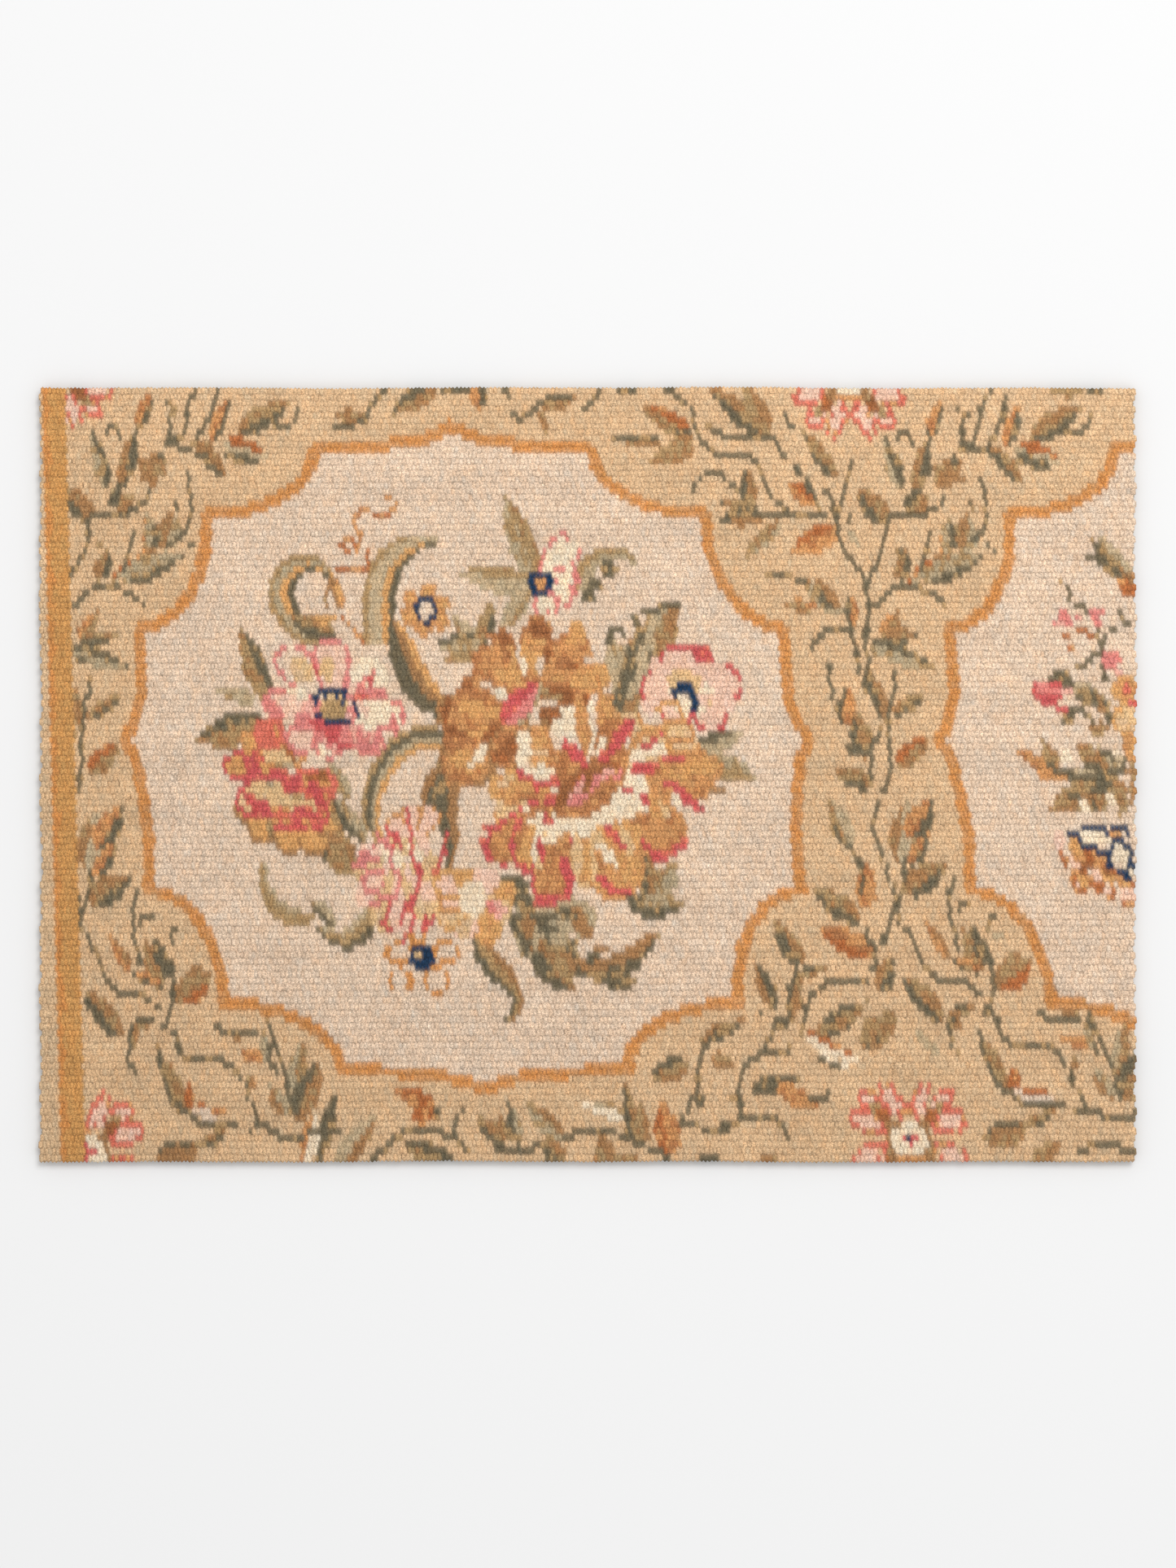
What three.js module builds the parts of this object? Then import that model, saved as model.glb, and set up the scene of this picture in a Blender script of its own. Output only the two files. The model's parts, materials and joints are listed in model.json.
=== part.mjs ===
// A cut length of hand-knotted wool rug, lying flat with its pile up.
// Millimetres. +X runs along the weft, +Y along the warp, +Z up out of the pile.
// The origin is the middle of the underside.
import * as THREE from "three";

// The cut size, and the height of a knot row's crown above the underside.
const RUG_WIDTH = 840;
const RUG_LENGTH = 592;
const RUG_THICKNESS = 8;

// Rows of knots run along the weft. They were beaten down less and less from the far end,
// so the near rows are wider than the far ones by this share of the mean row.
const KNOT_ROWS = 124;
const ROW_GROWTH = 0.13;
const GROOVE_DEPTH = 0.8;

// A row's end knots stand out past the groove beside them.
const ROW_END_SCALLOP = 0.4;

// Hand clipping leaves soft hollows in the pile, and hand cutting lets the edges wander.
const PILE_HOLLOW = 0.4;
const EDGE_WANDER = 0.6;

// The cut edge, from the underside up: the wefts are cut square, and the knots above them lean out.
const CUT_EDGE = [
  { height: 0, inset: 0.8 },
  { height: 2.8, inset: 0.9 },
  { height: 5.2, inset: 0 },
  { height: 6.9, inset: 0.6 },
];

// The pile reaches its full height this far in from the edges at the rows' ends.
const SHOULDER_WIDTH = 3.2;
const SPANS_ACROSS = 8;

const WOOL = { color: 0xdcc19a, roughness: 0.95, metalness: 0 };

// How far down the rug the near side of a row lies, as a share of its length.
function shareAfterRows(rows) {
  const share = rows / KNOT_ROWS;
  return share + (ROW_GROWTH / 2) * (share * share - share);
}

// Places across the rug, from -1 at one edge to 1 at the other.
function placesAcross() {
  const shoulder = 1 - (2 * SHOULDER_WIDTH) / RUG_WIDTH;
  const inner = Array.from(
    { length: SPANS_ACROSS + 1 },
    (_, span) => shoulder * ((2 * span) / SPANS_ACROSS - 1),
  );
  return [-1, ...inner, 1];
}

// Places along the rug, from 1 at the far end to -1 at the near end: a groove, then a row's crown.
function placesAlong() {
  return Array.from({ length: 2 * KNOT_ROWS + 1 }, (_, halfRow) => ({
    place: 1 - 2 * shareAfterRows(halfRow / 2),
    groove: halfRow % 2 === 0,
  }));
}

function edgeWander(along, side) {
  return (EDGE_WANDER / 2) * (Math.sin(5 * along + side) + Math.sin(13 * along - 2 * side));
}

// A point of the rug seen from above, drawn in from the cut edge by inset.
function pointInPlan(across, row, inset) {
  const scallop = row.groove ? ROW_END_SCALLOP : 0;
  const halfWidth = RUG_WIDTH / 2 - EDGE_WANDER + edgeWander(row.place, across);
  const halfLength = RUG_LENGTH / 2 - EDGE_WANDER + edgeWander(across, row.place);
  return [across * (halfWidth - scallop - inset), row.place * (halfLength - inset)];
}

function pileHeight(across, row) {
  const wave = Math.sin(4.1 * across + 1.7 * row.place) * Math.cos(3.3 * row.place - 0.8 * across);
  const groove = row.groove ? GROOVE_DEPTH : 0;
  return RUG_THICKNESS - (PILE_HOLLOW * (1 - wave)) / 2 - groove;
}

// The grid places round the rug's edge, anticlockwise from above, from the near left corner.
function edgePlaces(columns, rows) {
  const near = rows - 1;
  const right = columns - 1;
  const loop = [];
  for (let column = 0; column < right; column++) loop.push([column, near]);
  for (let row = near; row > 0; row--) loop.push([right, row]);
  for (let column = right; column > 0; column--) loop.push([column, 0]);
  for (let row = 0; row < near; row++) loop.push([0, row]);
  return loop;
}

function rugGeometry() {
  const across = placesAcross();
  const along = placesAlong();
  const loop = edgePlaces(across.length, along.length);
  const vertices = [];
  const triangles = [];
  const addVertex = (x, y, z) => vertices.push([x, y, z]) - 1;
  const addQuad = (a, b, c, d) => triangles.push([a, b, c], [a, c, d]);

  // The cut edge is a stack of rings.
  const rings = CUT_EDGE.map(({ height, inset }) =>
    loop.map(([column, row]) => {
      const [x, y] = pointInPlan(across[column], along[row], inset);
      return addVertex(x, y, height);
    }),
  );
  for (let level = 1; level < rings.length; level++) {
    const lower = rings[level - 1];
    const upper = rings[level];
    lower.forEach((start, at) => {
      const next = (at + 1) % loop.length;
      addQuad(start, lower[next], upper[next], upper[at]);
    });
  }

  // The flat underside closes the lowest ring.
  const outline = rings[0].map((at) => new THREE.Vector2(vertices[at][0], vertices[at][1]));
  for (const [a, b, c] of THREE.ShapeUtils.triangulateShape(outline, []))
    triangles.push([rings[0][a], rings[0][c], rings[0][b]]);

  // The ribbed pile face closes the highest ring.
  const topRing = rings.at(-1);
  const shoulder = CUT_EDGE.at(-1).inset;
  const face = across.map(() => []);
  loop.forEach(([column, row], at) => {
    face[column][row] = topRing[at];
  });
  for (let column = 1; column < across.length - 1; column++)
    for (let row = 1; row < along.length - 1; row++) {
      const [x, y] = pointInPlan(across[column], along[row], shoulder);
      face[column][row] = addVertex(x, y, pileHeight(across[column], along[row]));
    }
  for (let column = 1; column < across.length; column++)
    for (let row = 1; row < along.length; row++)
      addQuad(
        face[column - 1][row],
        face[column][row],
        face[column][row - 1],
        face[column - 1][row - 1],
      );

  const geometry = new THREE.BufferGeometry();
  geometry.setAttribute("position", new THREE.Float32BufferAttribute(vertices.flat(), 3));
  geometry.setIndex(triangles.flat());
  geometry.computeVertexNormals();
  return geometry;
}

const rug = new THREE.Mesh(rugGeometry(), new THREE.MeshStandardMaterial(WOOL));
rug.name = "knotted_rug";

const group = new THREE.Group();
group.name = "rug_length";
group.add(rug);

export default group;
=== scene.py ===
import json
import math

import bmesh
import bpy
import numpy as np
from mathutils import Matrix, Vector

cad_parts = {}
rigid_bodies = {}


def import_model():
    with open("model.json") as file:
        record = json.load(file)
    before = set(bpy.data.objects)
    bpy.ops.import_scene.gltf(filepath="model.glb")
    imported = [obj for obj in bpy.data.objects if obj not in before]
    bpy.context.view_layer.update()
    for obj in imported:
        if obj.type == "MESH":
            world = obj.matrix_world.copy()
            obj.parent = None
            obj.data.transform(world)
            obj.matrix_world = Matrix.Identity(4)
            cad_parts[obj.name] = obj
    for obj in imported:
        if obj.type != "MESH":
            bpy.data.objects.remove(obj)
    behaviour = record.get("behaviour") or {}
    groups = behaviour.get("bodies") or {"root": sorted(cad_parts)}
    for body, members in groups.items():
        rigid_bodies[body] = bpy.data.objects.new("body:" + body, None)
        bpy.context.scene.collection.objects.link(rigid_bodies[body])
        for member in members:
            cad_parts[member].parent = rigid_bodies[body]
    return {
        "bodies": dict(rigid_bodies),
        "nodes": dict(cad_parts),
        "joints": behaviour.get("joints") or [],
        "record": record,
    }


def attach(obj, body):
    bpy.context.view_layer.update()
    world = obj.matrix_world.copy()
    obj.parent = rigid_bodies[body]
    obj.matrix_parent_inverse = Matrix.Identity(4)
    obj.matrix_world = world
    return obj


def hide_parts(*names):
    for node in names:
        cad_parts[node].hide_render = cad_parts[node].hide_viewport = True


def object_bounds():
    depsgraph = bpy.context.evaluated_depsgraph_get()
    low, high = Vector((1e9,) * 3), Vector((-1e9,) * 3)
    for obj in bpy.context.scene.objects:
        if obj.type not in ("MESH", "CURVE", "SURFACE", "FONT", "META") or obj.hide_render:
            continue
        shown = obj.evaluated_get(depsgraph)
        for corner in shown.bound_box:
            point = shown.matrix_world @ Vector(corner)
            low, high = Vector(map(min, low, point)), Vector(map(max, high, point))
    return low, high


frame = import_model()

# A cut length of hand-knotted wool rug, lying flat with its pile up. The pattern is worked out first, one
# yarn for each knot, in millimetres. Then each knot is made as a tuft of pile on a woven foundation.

CAD_LOW, CAD_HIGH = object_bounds()
MILLIMETRE = 0.001
SEED = 7

# The cut size in millimetres, and its rows of knots, as in the solid.
RUG_WIDTH = 840.0
RUG_LENGTH = 592.0
KNOT_ROWS = 124
ROW_GROWTH = 0.13

# Columns of knots are counted from the middle. The warps spread out to the right, and lean.
KNOT_WIDTH = 3.02
WARP_GROWTH = 0.000234
FIRST_COLUMN = -146
LAST_COLUMN = 150
WARP_LEAN = 0.0590
LEAN_GROWTH = 0.0000839

# The dyed yarns, in display colours from 0 to 255.
YARNS = {
    "ivory": (222, 195, 169),
    "cream": (234, 212, 182),
    "sand": (214, 178, 138),
    "beige": (210, 177, 139),
    "stripe gold": (201, 148, 88),
    "caramel": (205, 140, 80),
    "moss": (110, 99, 77),
    "sage": (178, 157, 124),
    "pale sage": (192, 168, 133),
    "olive": (170, 138, 96),
    "brown": (164, 121, 80),
    "umber": (153, 98, 61),
    "rust": (176, 106, 62),
    "russet": (178, 119, 76),
    "amber": (203, 145, 93),
    "gold": (211, 157, 99),
    "straw": (218, 180, 132),
    "crimson": (198, 88, 86),
    "rose": (215, 130, 121),
    "pink": (228, 168, 150),
    "blush": (231, 190, 166),
    "coral": (212, 112, 92),
    "navy": (31, 55, 82),
}
(
    IVORY, CREAM, SAND, BEIGE, STRIPE_GOLD, CARAMEL, MOSS, SAGE, PALE_SAGE, OLIVE, BROWN, UMBER, RUST,
    RUSSET, AMBER, GOLD, STRAW, CRIMSON, ROSE, PINK, BLUSH, CORAL, NAVY,
) = range(len(YARNS))


def row_place(rows):
    """How far along the rug a row lies, from the number of rows above it."""
    share = rows / KNOT_ROWS
    return RUG_LENGTH * (0.5 - share - ROW_GROWTH / 2 * (share * share - share))


def row_at(along):
    """The number of rows above a place, which undoes row_place."""
    share = 0.5 - along / RUG_LENGTH
    slack = 1 - ROW_GROWTH / 2
    return KNOT_ROWS * (np.sqrt(slack * slack + 2 * ROW_GROWTH * share) - slack) / ROW_GROWTH


def warp_place(column):
    return KNOT_WIDTH * (column + WARP_GROWTH * column * column)


def column_at(across):
    return (np.sqrt(1 + 4 * WARP_GROWTH * across / KNOT_WIDTH) - 1) / (2 * WARP_GROWTH)


def stagger(row):
    """Knots of neighbouring rows are half a knot apart."""
    return 0.5 * (row % 2) - 0.25


def curve(points, step):
    """A smooth line through the points, with a place at every step."""
    p = np.asarray(points, float)
    if len(p) == 2:
        p = np.array([p[0], (p[0] + p[1]) / 2, p[1]])
    ends = np.vstack([2 * p[0] - p[1], p, 2 * p[-1] - p[-2]])
    places = []
    for a, b, c, d in zip(ends, ends[1:], ends[2:], ends[3:]):
        count = max(int(np.hypot(*(c - b)) / step), 1)
        t = np.arange(count)[:, None] / count
        places.append(b + 0.5 * t * (c - a + t * (2 * a - 5 * b + 4 * c - d + t * (3 * (b - c) + d - a))))
    return np.vstack(places + [p[-1:]])


# How much fuller a leaf is knotted than the width it is drawn with, how near a knot's middle a thin line
# has to pass to take it, and how wide a ring's own line is.
LEAF_FULLNESS = 1.32
STITCH_REACH = 0.22
RING_WIDTH = 3.4

# The knots that take a leaf's second yarn are drawn by chance, and half of them follow their neighbour.
CHART_SEED = 3
CLUMPED_SHARE = 0.5

# The yarn that each yarn is mottled with, and the share of its knots that take it: inside a shape, on a
# leaf's dark side, and in a line or stroke.
MOTTLES = {
    MOSS: OLIVE, BROWN: OLIVE, OLIVE: BROWN, SAGE: OLIVE, PALE_SAGE: SAGE, UMBER: RUST, RUST: AMBER,
    RUSSET: AMBER, CARAMEL: AMBER, AMBER: RUSSET, GOLD: AMBER, STRAW: SAND, PINK: ROSE, CRIMSON: CORAL,
    CORAL: AMBER,
}
MOTTLE_SHARE = 0.36
EDGE_SHARE = 0.14
STEM_SHARE = 0.18


class Chart:
    """The pattern: one yarn for each knot. Places are in millimetres, across and along the rug."""

    def __init__(self):
        rows = np.arange(KNOT_ROWS)[:, None]
        columns = np.arange(FIRST_COLUMN, LAST_COLUMN + 1)[None, :]
        self.across = warp_place(columns + stagger(rows))
        self.along = np.repeat(row_place(rows + 0.5), columns.size, axis=1)
        self.yarn = np.full(self.across.shape, SAND)
        rng = np.random.default_rng(CHART_SEED)
        self.chance = rng.random(self.across.shape)
        clumped = rng.random(self.across.shape) < CLUMPED_SHARE
        self.chance = np.where(clumped, np.roll(self.chance, 1, axis=1), self.chance)

    def paint(self, where, yarn):
        self.yarn[where] = yarn

    def toward(self, base, tip):
        """Each knot's share of the way from base to tip, and its distance to the left of that line."""
        du, dv = tip[0] - base[0], tip[1] - base[1]
        length = np.hypot(du, dv)
        u, v = self.across - base[0], self.along - base[1]
        return (u * du + v * dv) / length**2, (v * du - u * dv) / length

    def inside(self, outline):
        """True for the knots inside a closed outline."""
        found = np.zeros(self.yarn.shape, bool)
        for (u0, v0), (u1, v1) in zip(outline, np.roll(outline, -1, axis=0)):
            if v0 != v1:
                crosses = (v0 > self.along) != (v1 > self.along)
                found ^= crosses & (self.across < u0 + (self.along - v0) * (u1 - u0) / (v1 - v0))
        return found

    def beside(self, line):
        """Each knot's share of the way along a line, and its signed distance to the left of it."""
        best = np.full(self.yarn.shape, np.inf)
        share = np.zeros(self.yarn.shape)
        side = np.zeros(self.yarn.shape)
        ahead = np.gradient(line, axis=0)
        for at, ((u, v), (du, dv)) in enumerate(zip(line, ahead)):
            gap_u, gap_v = self.across - u, self.along - v
            gap = np.hypot(gap_u, gap_v)
            nearer = gap < best
            best[nearer] = gap[nearer]
            share[nearer] = at / (len(line) - 1)
            side[nearer] = (gap * np.sign(gap_v * du - gap_u * dv))[nearer]
        return share, side

    def stitch(self, yarn, *points):
        """A line one knot thick: one knot in each row where it is steep, else one in each column."""
        line = curve(points, 0.5)
        rows = row_at(line[:, 1])
        row = np.clip(np.floor(rows).astype(int), 0, KNOT_ROWS - 1)
        columns = column_at(line[:, 0]) - stagger(row)
        column = np.rint(columns).astype(int)
        steep = np.abs(np.gradient(rows)) > np.abs(np.gradient(column_at(line[:, 0])))
        off_middle = np.where(steep, np.abs(rows - row - 0.5), np.abs(columns - column))
        seen = (off_middle < STITCH_REACH) & (np.abs(line[:, 1]) < RUG_LENGTH / 2)
        column -= FIRST_COLUMN
        seen &= (column >= 0) & (column < self.yarn.shape[1])
        run = np.zeros(self.yarn.shape, bool)
        run[row[seen], column[seen]] = True
        self.paint(run, yarn)
        self.mottle(run, yarn, STEM_SHARE)

    def stitches(self, yarn, *lines):
        for points in lines:
            self.stitch(yarn, *points)

    def leaf(self, base, tip, width, dark, light):
        """A pointed leaf. Its dark side is on the left, or on the right for a width below zero."""
        share, side = self.toward(base, tip)
        side = side * np.sign(width)
        along = share.clip(0, 1)
        half = abs(width) * LEAF_FULLNESS / 2 * np.sin(np.pi * along**0.75) ** 0.8
        body = (share > 0) & (share < 1) & (np.abs(side) < half)
        self.paint(body, light)
        dark_side = body & (side > 0.1 * abs(width))
        self.paint(dark_side, dark)
        self.mottle(dark_side, dark, EDGE_SHARE)
        self.mottle(body & ~dark_side, light)

    def leaves(self, *leaves):
        """Leaves in turn: base across and along, tip across and along, width, dark and light yarn."""
        for u0, v0, u1, v1, width, dark, light in leaves:
            self.leaf((u0, v0), (u1, v1), width, dark, light)

    def mottle(self, where, yarn, share=MOTTLE_SHARE):
        """Mixes a few knots of a kindred yarn into a shape."""
        if yarn in MOTTLES:
            self.paint(where & (self.chance < share), MOTTLES[yarn])

    def band(self, points, wide, edges):
        """A long curved leaf or ribbon. wide is its width from start to end, and edges its yarns from
        left to right."""
        share, side = self.beside(curve(points, 2.0))
        half = np.interp(share, np.linspace(0, 1, len(wide)), wide) / 2
        place = (1 - side / np.maximum(half, 0.1)) / 2
        body = (np.abs(side) < half) & (share > 0) & (share < 1)
        for at, yarn in enumerate(edges):
            self.paint(body & (place >= at / len(edges)) & (place <= (at + 1) / len(edges)), yarn)

    def disc(self, centre, radius, yarn, squash=1.0):
        u, v = self.across - centre[0], (self.along - centre[1]) / squash
        self.paint(np.hypot(u, v) < radius, yarn)

    def lobe(self, base, tip, width, rim, fill, throat=None, notch=0.0, rim_width=3.2):
        """A round-ended lobe, with its rim in a yarn of its own. It widens from its base."""
        length = np.hypot(tip[0] - base[0], tip[1] - base[1])
        share, side = self.toward(base, tip)
        out = share * length
        share = share.clip(0, 1)
        half = width / 2 * (1 - (1 - share) ** 2 * 0.55) * np.sqrt((1 - share**5).clip(0, 1))
        reach = length - notch * np.exp(-((side / (0.16 * width)) ** 2))
        body = (np.abs(side) < half) & (out > 0) & (out < reach)
        inner = body & (np.abs(side) < half - rim_width) & (out < reach - rim_width)
        self.paint(body, rim)
        self.paint(inner, fill)
        self.mottle(inner, fill)
        if throat is not None:
            self.paint(inner & (share < 0.4), throat)

    def petal(self, centre, angle, start, end, *colours, **shape):
        """A lobe that points away from a flower's centre."""
        turn = np.radians(angle)
        ahead = np.array([np.cos(turn), np.sin(turn)])
        self.lobe(centre + start * ahead, centre + end * ahead, *colours, **shape)

    def strokes(self, yarn, *lines):
        """Short strokes of one yarn: start across and along, end across and along, and width."""
        for u0, v0, u1, v1, width in lines:
            share, side = self.toward((u0, v0), (u1, v1))
            half = width / 2 * np.sin(np.pi * share.clip(0.03, 0.97)) ** 0.4
            body = (share > 0) & (share < 1) & (np.abs(side) < half)
            self.paint(body, yarn)
            self.mottle(body, yarn, STEM_SHARE)

    def ring(self, centre, radius, rim, fill, squash=1.0):
        self.disc(centre, radius, rim, squash)
        self.disc(centre, radius - RING_WIDTH, fill, squash)


# The medallions' centres, and the width of the caramel frame round each.
MEDALLION_CENTRES = [(-91, 12), (533, 12)]
FRAME_WIDTH = 9.2


def medallion_outline(centre):
    """A traditional cartouche: tent-shaped ends, two hollow scallops at each corner and a small
    peak at each side."""
    arc = np.radians(np.arange(0, 91, 15))
    tent = [(0, 255), (14, 247), (40, 242), (108, 237)]
    upper_scallop = np.stack([194 - 86 * np.cos(arc), 237 - 50 * np.sin(arc)], 1)
    lower_scallop = np.stack([248 - 55 * np.cos(arc), 187 - 87 * np.sin(arc)], 1)
    quarter = np.vstack([tent, upper_scallop[1:], lower_scallop[1:]])
    side_peak = [(248, 50), (255, 28), (262, 14), (254, 0), (250, -26), (246, -60)]
    half = np.vstack([quarter, side_peak, quarter[::-1] * (1, -1)])
    return np.vstack([half, half[::-1][1:-1] * (-1, 1)]) + centre


def knot_medallion(chart, centre):
    outline = medallion_outline(centre)
    chart.paint(chart.inside(outline), IVORY)
    closed = np.vstack([outline, outline[:1]])
    best = np.full(chart.yarn.shape, np.inf)
    for a, b in zip(closed, closed[1:]):
        share, side = chart.toward(a, b)
        length = np.hypot(*(b - a))
        past = np.maximum(np.maximum(-share, share - 1), 0) * length
        best = np.minimum(best, np.hypot(side, past))
    frame = best < FRAME_WIDTH / 2
    chart.paint(frame, CARAMEL)
    chart.mottle(frame, CARAMEL)


# The rosettes: half a repeat above and below the gaps between medallions.
ROSETTE_CENTRES = [(224, -280), (-391, -289), (222, 303), (-399, 311)]


def knot_rosette_quarter(chart, centre, side, end):
    """Three petals of a rosette. side and end are 1 or -1, and mirror them across and along the rug."""
    def placed(*points):
        return [(centre[0] + side * u, centre[1] + end * v) for u, v in points]

    for start, tip, width in (((7, 18), (12, 41), 13), ((20, 26), (33, 33), 9), ((20, 13), (41, 14), 12)):
        (u0, v0), (u1, v1) = placed(start, tip)
        chart.strokes(BLUSH, (u0, v0, u1, v1, width))
    for points in (
        ((2, 22), (3, 29), (6, 34), (10, 39), (14, 46)), ((14, 20), (15, 27)), ((17, 34), (19, 43)),
        ((6, 18), (7, 23)), ((18, 29), (23, 31)), ((22, 33), (26, 36), (35, 36)), ((34, 31), (33, 26)),
        ((30, 27), (31, 22)), ((26, 20), (42, 20)), ((43, 17), (42, 13), (38, 9)), ((20, 17), (24, 15)),
        ((20, 12), (19, 8)), ((18, 5), (34, 5)),
    ):
        chart.stitch(CORAL, *placed(*points))
    for yarn, start, tip, width in (
        (OLIVE, (26, 28), (18, 18), 8), (UMBER, (22, 23), (13, 14), 10), (BROWN, (14, 16), (13, 7), 8),
    ):
        (u0, v0), (u1, v1) = placed(start, tip)
        chart.strokes(yarn, (u0, v0, u1, v1, width))


def knot_rosette(chart, centre):
    """A twelve-petalled rosette with a pale heart and a cross in it."""
    for side in (-1, 1):
        for end in (-1, 1):
            knot_rosette_quarter(chart, centre, side, end)
    u, v = centre
    chart.disc(centre, 17.5, BROWN, squash=0.92)
    chart.strokes(AMBER, (u - 9, v + 14, u + 9, v + 14, 4), (u - 11, v - 14, u + 11, v - 14, 4))
    chart.disc(centre, 15, CREAM, squash=0.88)
    chart.strokes(CRIMSON, (u - 8, v, u + 8, v, 5), (u - 1, v + 8, u + 1, v - 8, 4))
    chart.stitch(NAVY, (u, v), (u + 0.5, v))


# The stems of the vine, as places across and along that each runs through.
VINE_STEMS = [
    # Left of the right-hand rosettes, above.
    [(84, 293), (92, 286), (98, 279), (99, 270), (103, 257)],
    [(103, 255), (109, 251), (117, 245), (139, 245), (147, 235), (152, 224), (157, 211), (164, 205),
     (170, 200)],
    [(109, 267), (118, 262), (126, 258), (158, 257), (164, 250), (170, 241)],
    [(178, 238), (176, 232), (182, 229), (185, 220), (189, 210), (193, 203)],
    [(95, 217), (98, 223), (106, 230), (117, 232), (122, 224), (129, 218)],
    [(150, 197), (160, 197), (171, 199), (197, 197)],
    [(169, 275), (173, 270), (178, 266)],
    [(219, 242), (218, 234), (213, 222), (209, 208), (205, 196), (206, 183), (210, 170), (219, 157),
     (226, 145)],
    [(196, 219), (201, 215), (203, 205), (204, 198)],
    [(217, 202), (213, 195)],
    [(274, 198), (248, 198), (243, 188), (240, 176), (235, 163), (228, 153), (224, 145)],
    [(145, 153), (160, 153), (172, 149), (179, 144)],
    # Down the gap between the medallions.
    [(224, 148), (223, 138), (225, 128), (222, 112), (219, 100), (221, 86), (218, 72), (216, 65)],
    [(207, 126), (210, 112), (211, 100), (213, 90), (213, 75)],
    [(210, 111), (192, 110), (182, 103), (177, 96)],
    [(226, 127), (236, 135), (244, 142), (263, 142)],
    [(263, 143), (272, 139), (279, 135), (284, 128)],
    [(191, 86), (190, 75), (191, 66), (190, 56)],
    [(240, 78), (240, 68), (235, 55), (234, 40), (232, 26), (232, 12), (229, -4), (224, -14)],
    [(229, 36), (222, 27), (218, 14), (217, 2), (217, -10)],
    [(220, -18), (217, -32), (215, -40), (219, -55), (219, -67)],
    [(224, -69), (223, -76), (227, -84), (226, -98), (221, -114), (215, -130)],
    [(186, -41), (191, -52), (200, -62), (204, -76), (202, -92)],
    [(237, -66), (235, -80), (230, -96), (227, -106)],
    [(230, -107), (229, -113)],
    [(233, -116), (240, -128), (244, -142), (252, -154), (262, -158), (274, -158)],
    [(274, -158), (280, -164), (288, -167)],
    [(203, -115), (204, -124), (208, -133), (209, -142), (204, -152)],
    [(203, -158), (175, -159), (162, -167), (154, -177), (151, -190), (150, -198)],
    [(273, -80), (268, -94), (268, -112), (271, -125), (272, -137)],
    [(285, -99), (277, -99), (273, -106)],
    [(303, -107), (297, -112), (296, -122)],
    [(258, 260), (264, 262)],
    # Below, left of the rosette.
    [(119, -180), (121, -185)],
    [(132, -186), (127, -197), (120, -211), (108, -220), (101, -233), (95, -248)],
    [(117, -214), (137, -214), (139, -208)],
    [(98, -248), (100, -256), (98, -263)],
    [(84, -268), (93, -268), (107, -262), (120, -262), (130, -269), (134, -282)],
    [(150, -247), (163, -247), (166, -241)],
    [(66, -294), (80, -294)],
    [(85, -199), (76, -208), (70, -222), (68, -240), (60, -257), (56, -264), (53, -269), (68, -269)],
    [(70, -274), (82, -274), (93, -268)],
    [(-35, -276), (0, -275), (14, -279), (26, -285)],
    [(28, -289), (38, -289), (44, -296)],
    [(-180, -297), (-168, -286), (-152, -274), (-128, -274), (-118, -280)],
    [(-108, -257), (-114, -266), (-115, -280), (-104, -290)],
    [(-85, -287), (-60, -287), (-50, -280)],
    # Above the left-hand medallion.
    [(-183, 267), (-168, 268), (-158, 276), (-149, 288), (-138, 297)],
    [(-98, 295), (-75, 295)],
    [(-44, 278), (-38, 273), (-30, 276), (-22, 283), (-8, 290), (4, 291)],
    [(12, 281), (20, 285), (28, 297)],
    [(-52, 297), (-45, 292), (-42, 286)],
    [(42, 295), (55, 295)],
    [(78, 295), (85, 295)],
]

# Above and below the right-hand medallion, and again round the left edge.
EDGE_STEMS = [
    [(283, 262), (281, 250), (279, 232), (270, 217)],
    [(266, 263), (269, 254)],
    [(301, 244), (300, 238)],
    [(291, 216), (287, 207), (277, 202), (274, 199)],
    [(306, 279), (313, 276), (309, 268), (309, 256), (318, 256), (321, 268), (325, 282), (335, 297)],
    [(308, 256), (307, 249), (325, 248), (333, 260), (341, 274), (346, 290)],
    [(328, 243), (337, 243)],
    [(388, 262), (400, 262), (408, 270), (409, 278)],
    [(408, 293), (422, 293)],
    [(320, 229), (322, 212), (321, 192), (312, 180), (302, 173)],
    [(309, 209), (311, 202)],
    [(277, 187), (275, 176), (270, 163), (268, 156)],
    [(320, 175), (325, 173)],
    [(253, 173), (249, 173)],
    [(262, -185), (262, -200), (262, -208), (266, -215)],
    [(296, -157), (297, -140), (290, -128), (284, -117)],
    [(297, -150), (296, -163), (291, -178), (286, -182)],
    [(288, -182), (297, -187), (300, -200), (308, -207), (332, -208), (340, -213), (345, -222)],
    [(350, -226), (349, -238)],
    [(355, -240), (356, -252)],
    [(350, -257), (363, -256), (372, -262), (385, -265), (398, -259), (418, -259)],
    [(328, -179), (332, -185)],
    [(334, -188), (360, -188)],
    [(370, -174), (364, -174)],
    [(366, -174), (368, -184), (372, -198), (377, -214), (381, -230), (385, -246)],
    [(369, -208), (372, -216)],
    [(282, -194), (284, -202), (287, -220), (293, -236), (305, -246), (312, -252)],
    [(312, -252), (342, -252)],
    [(348, -290), (362, -284), (376, -284), (384, -289), (394, -289)],
]

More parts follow.
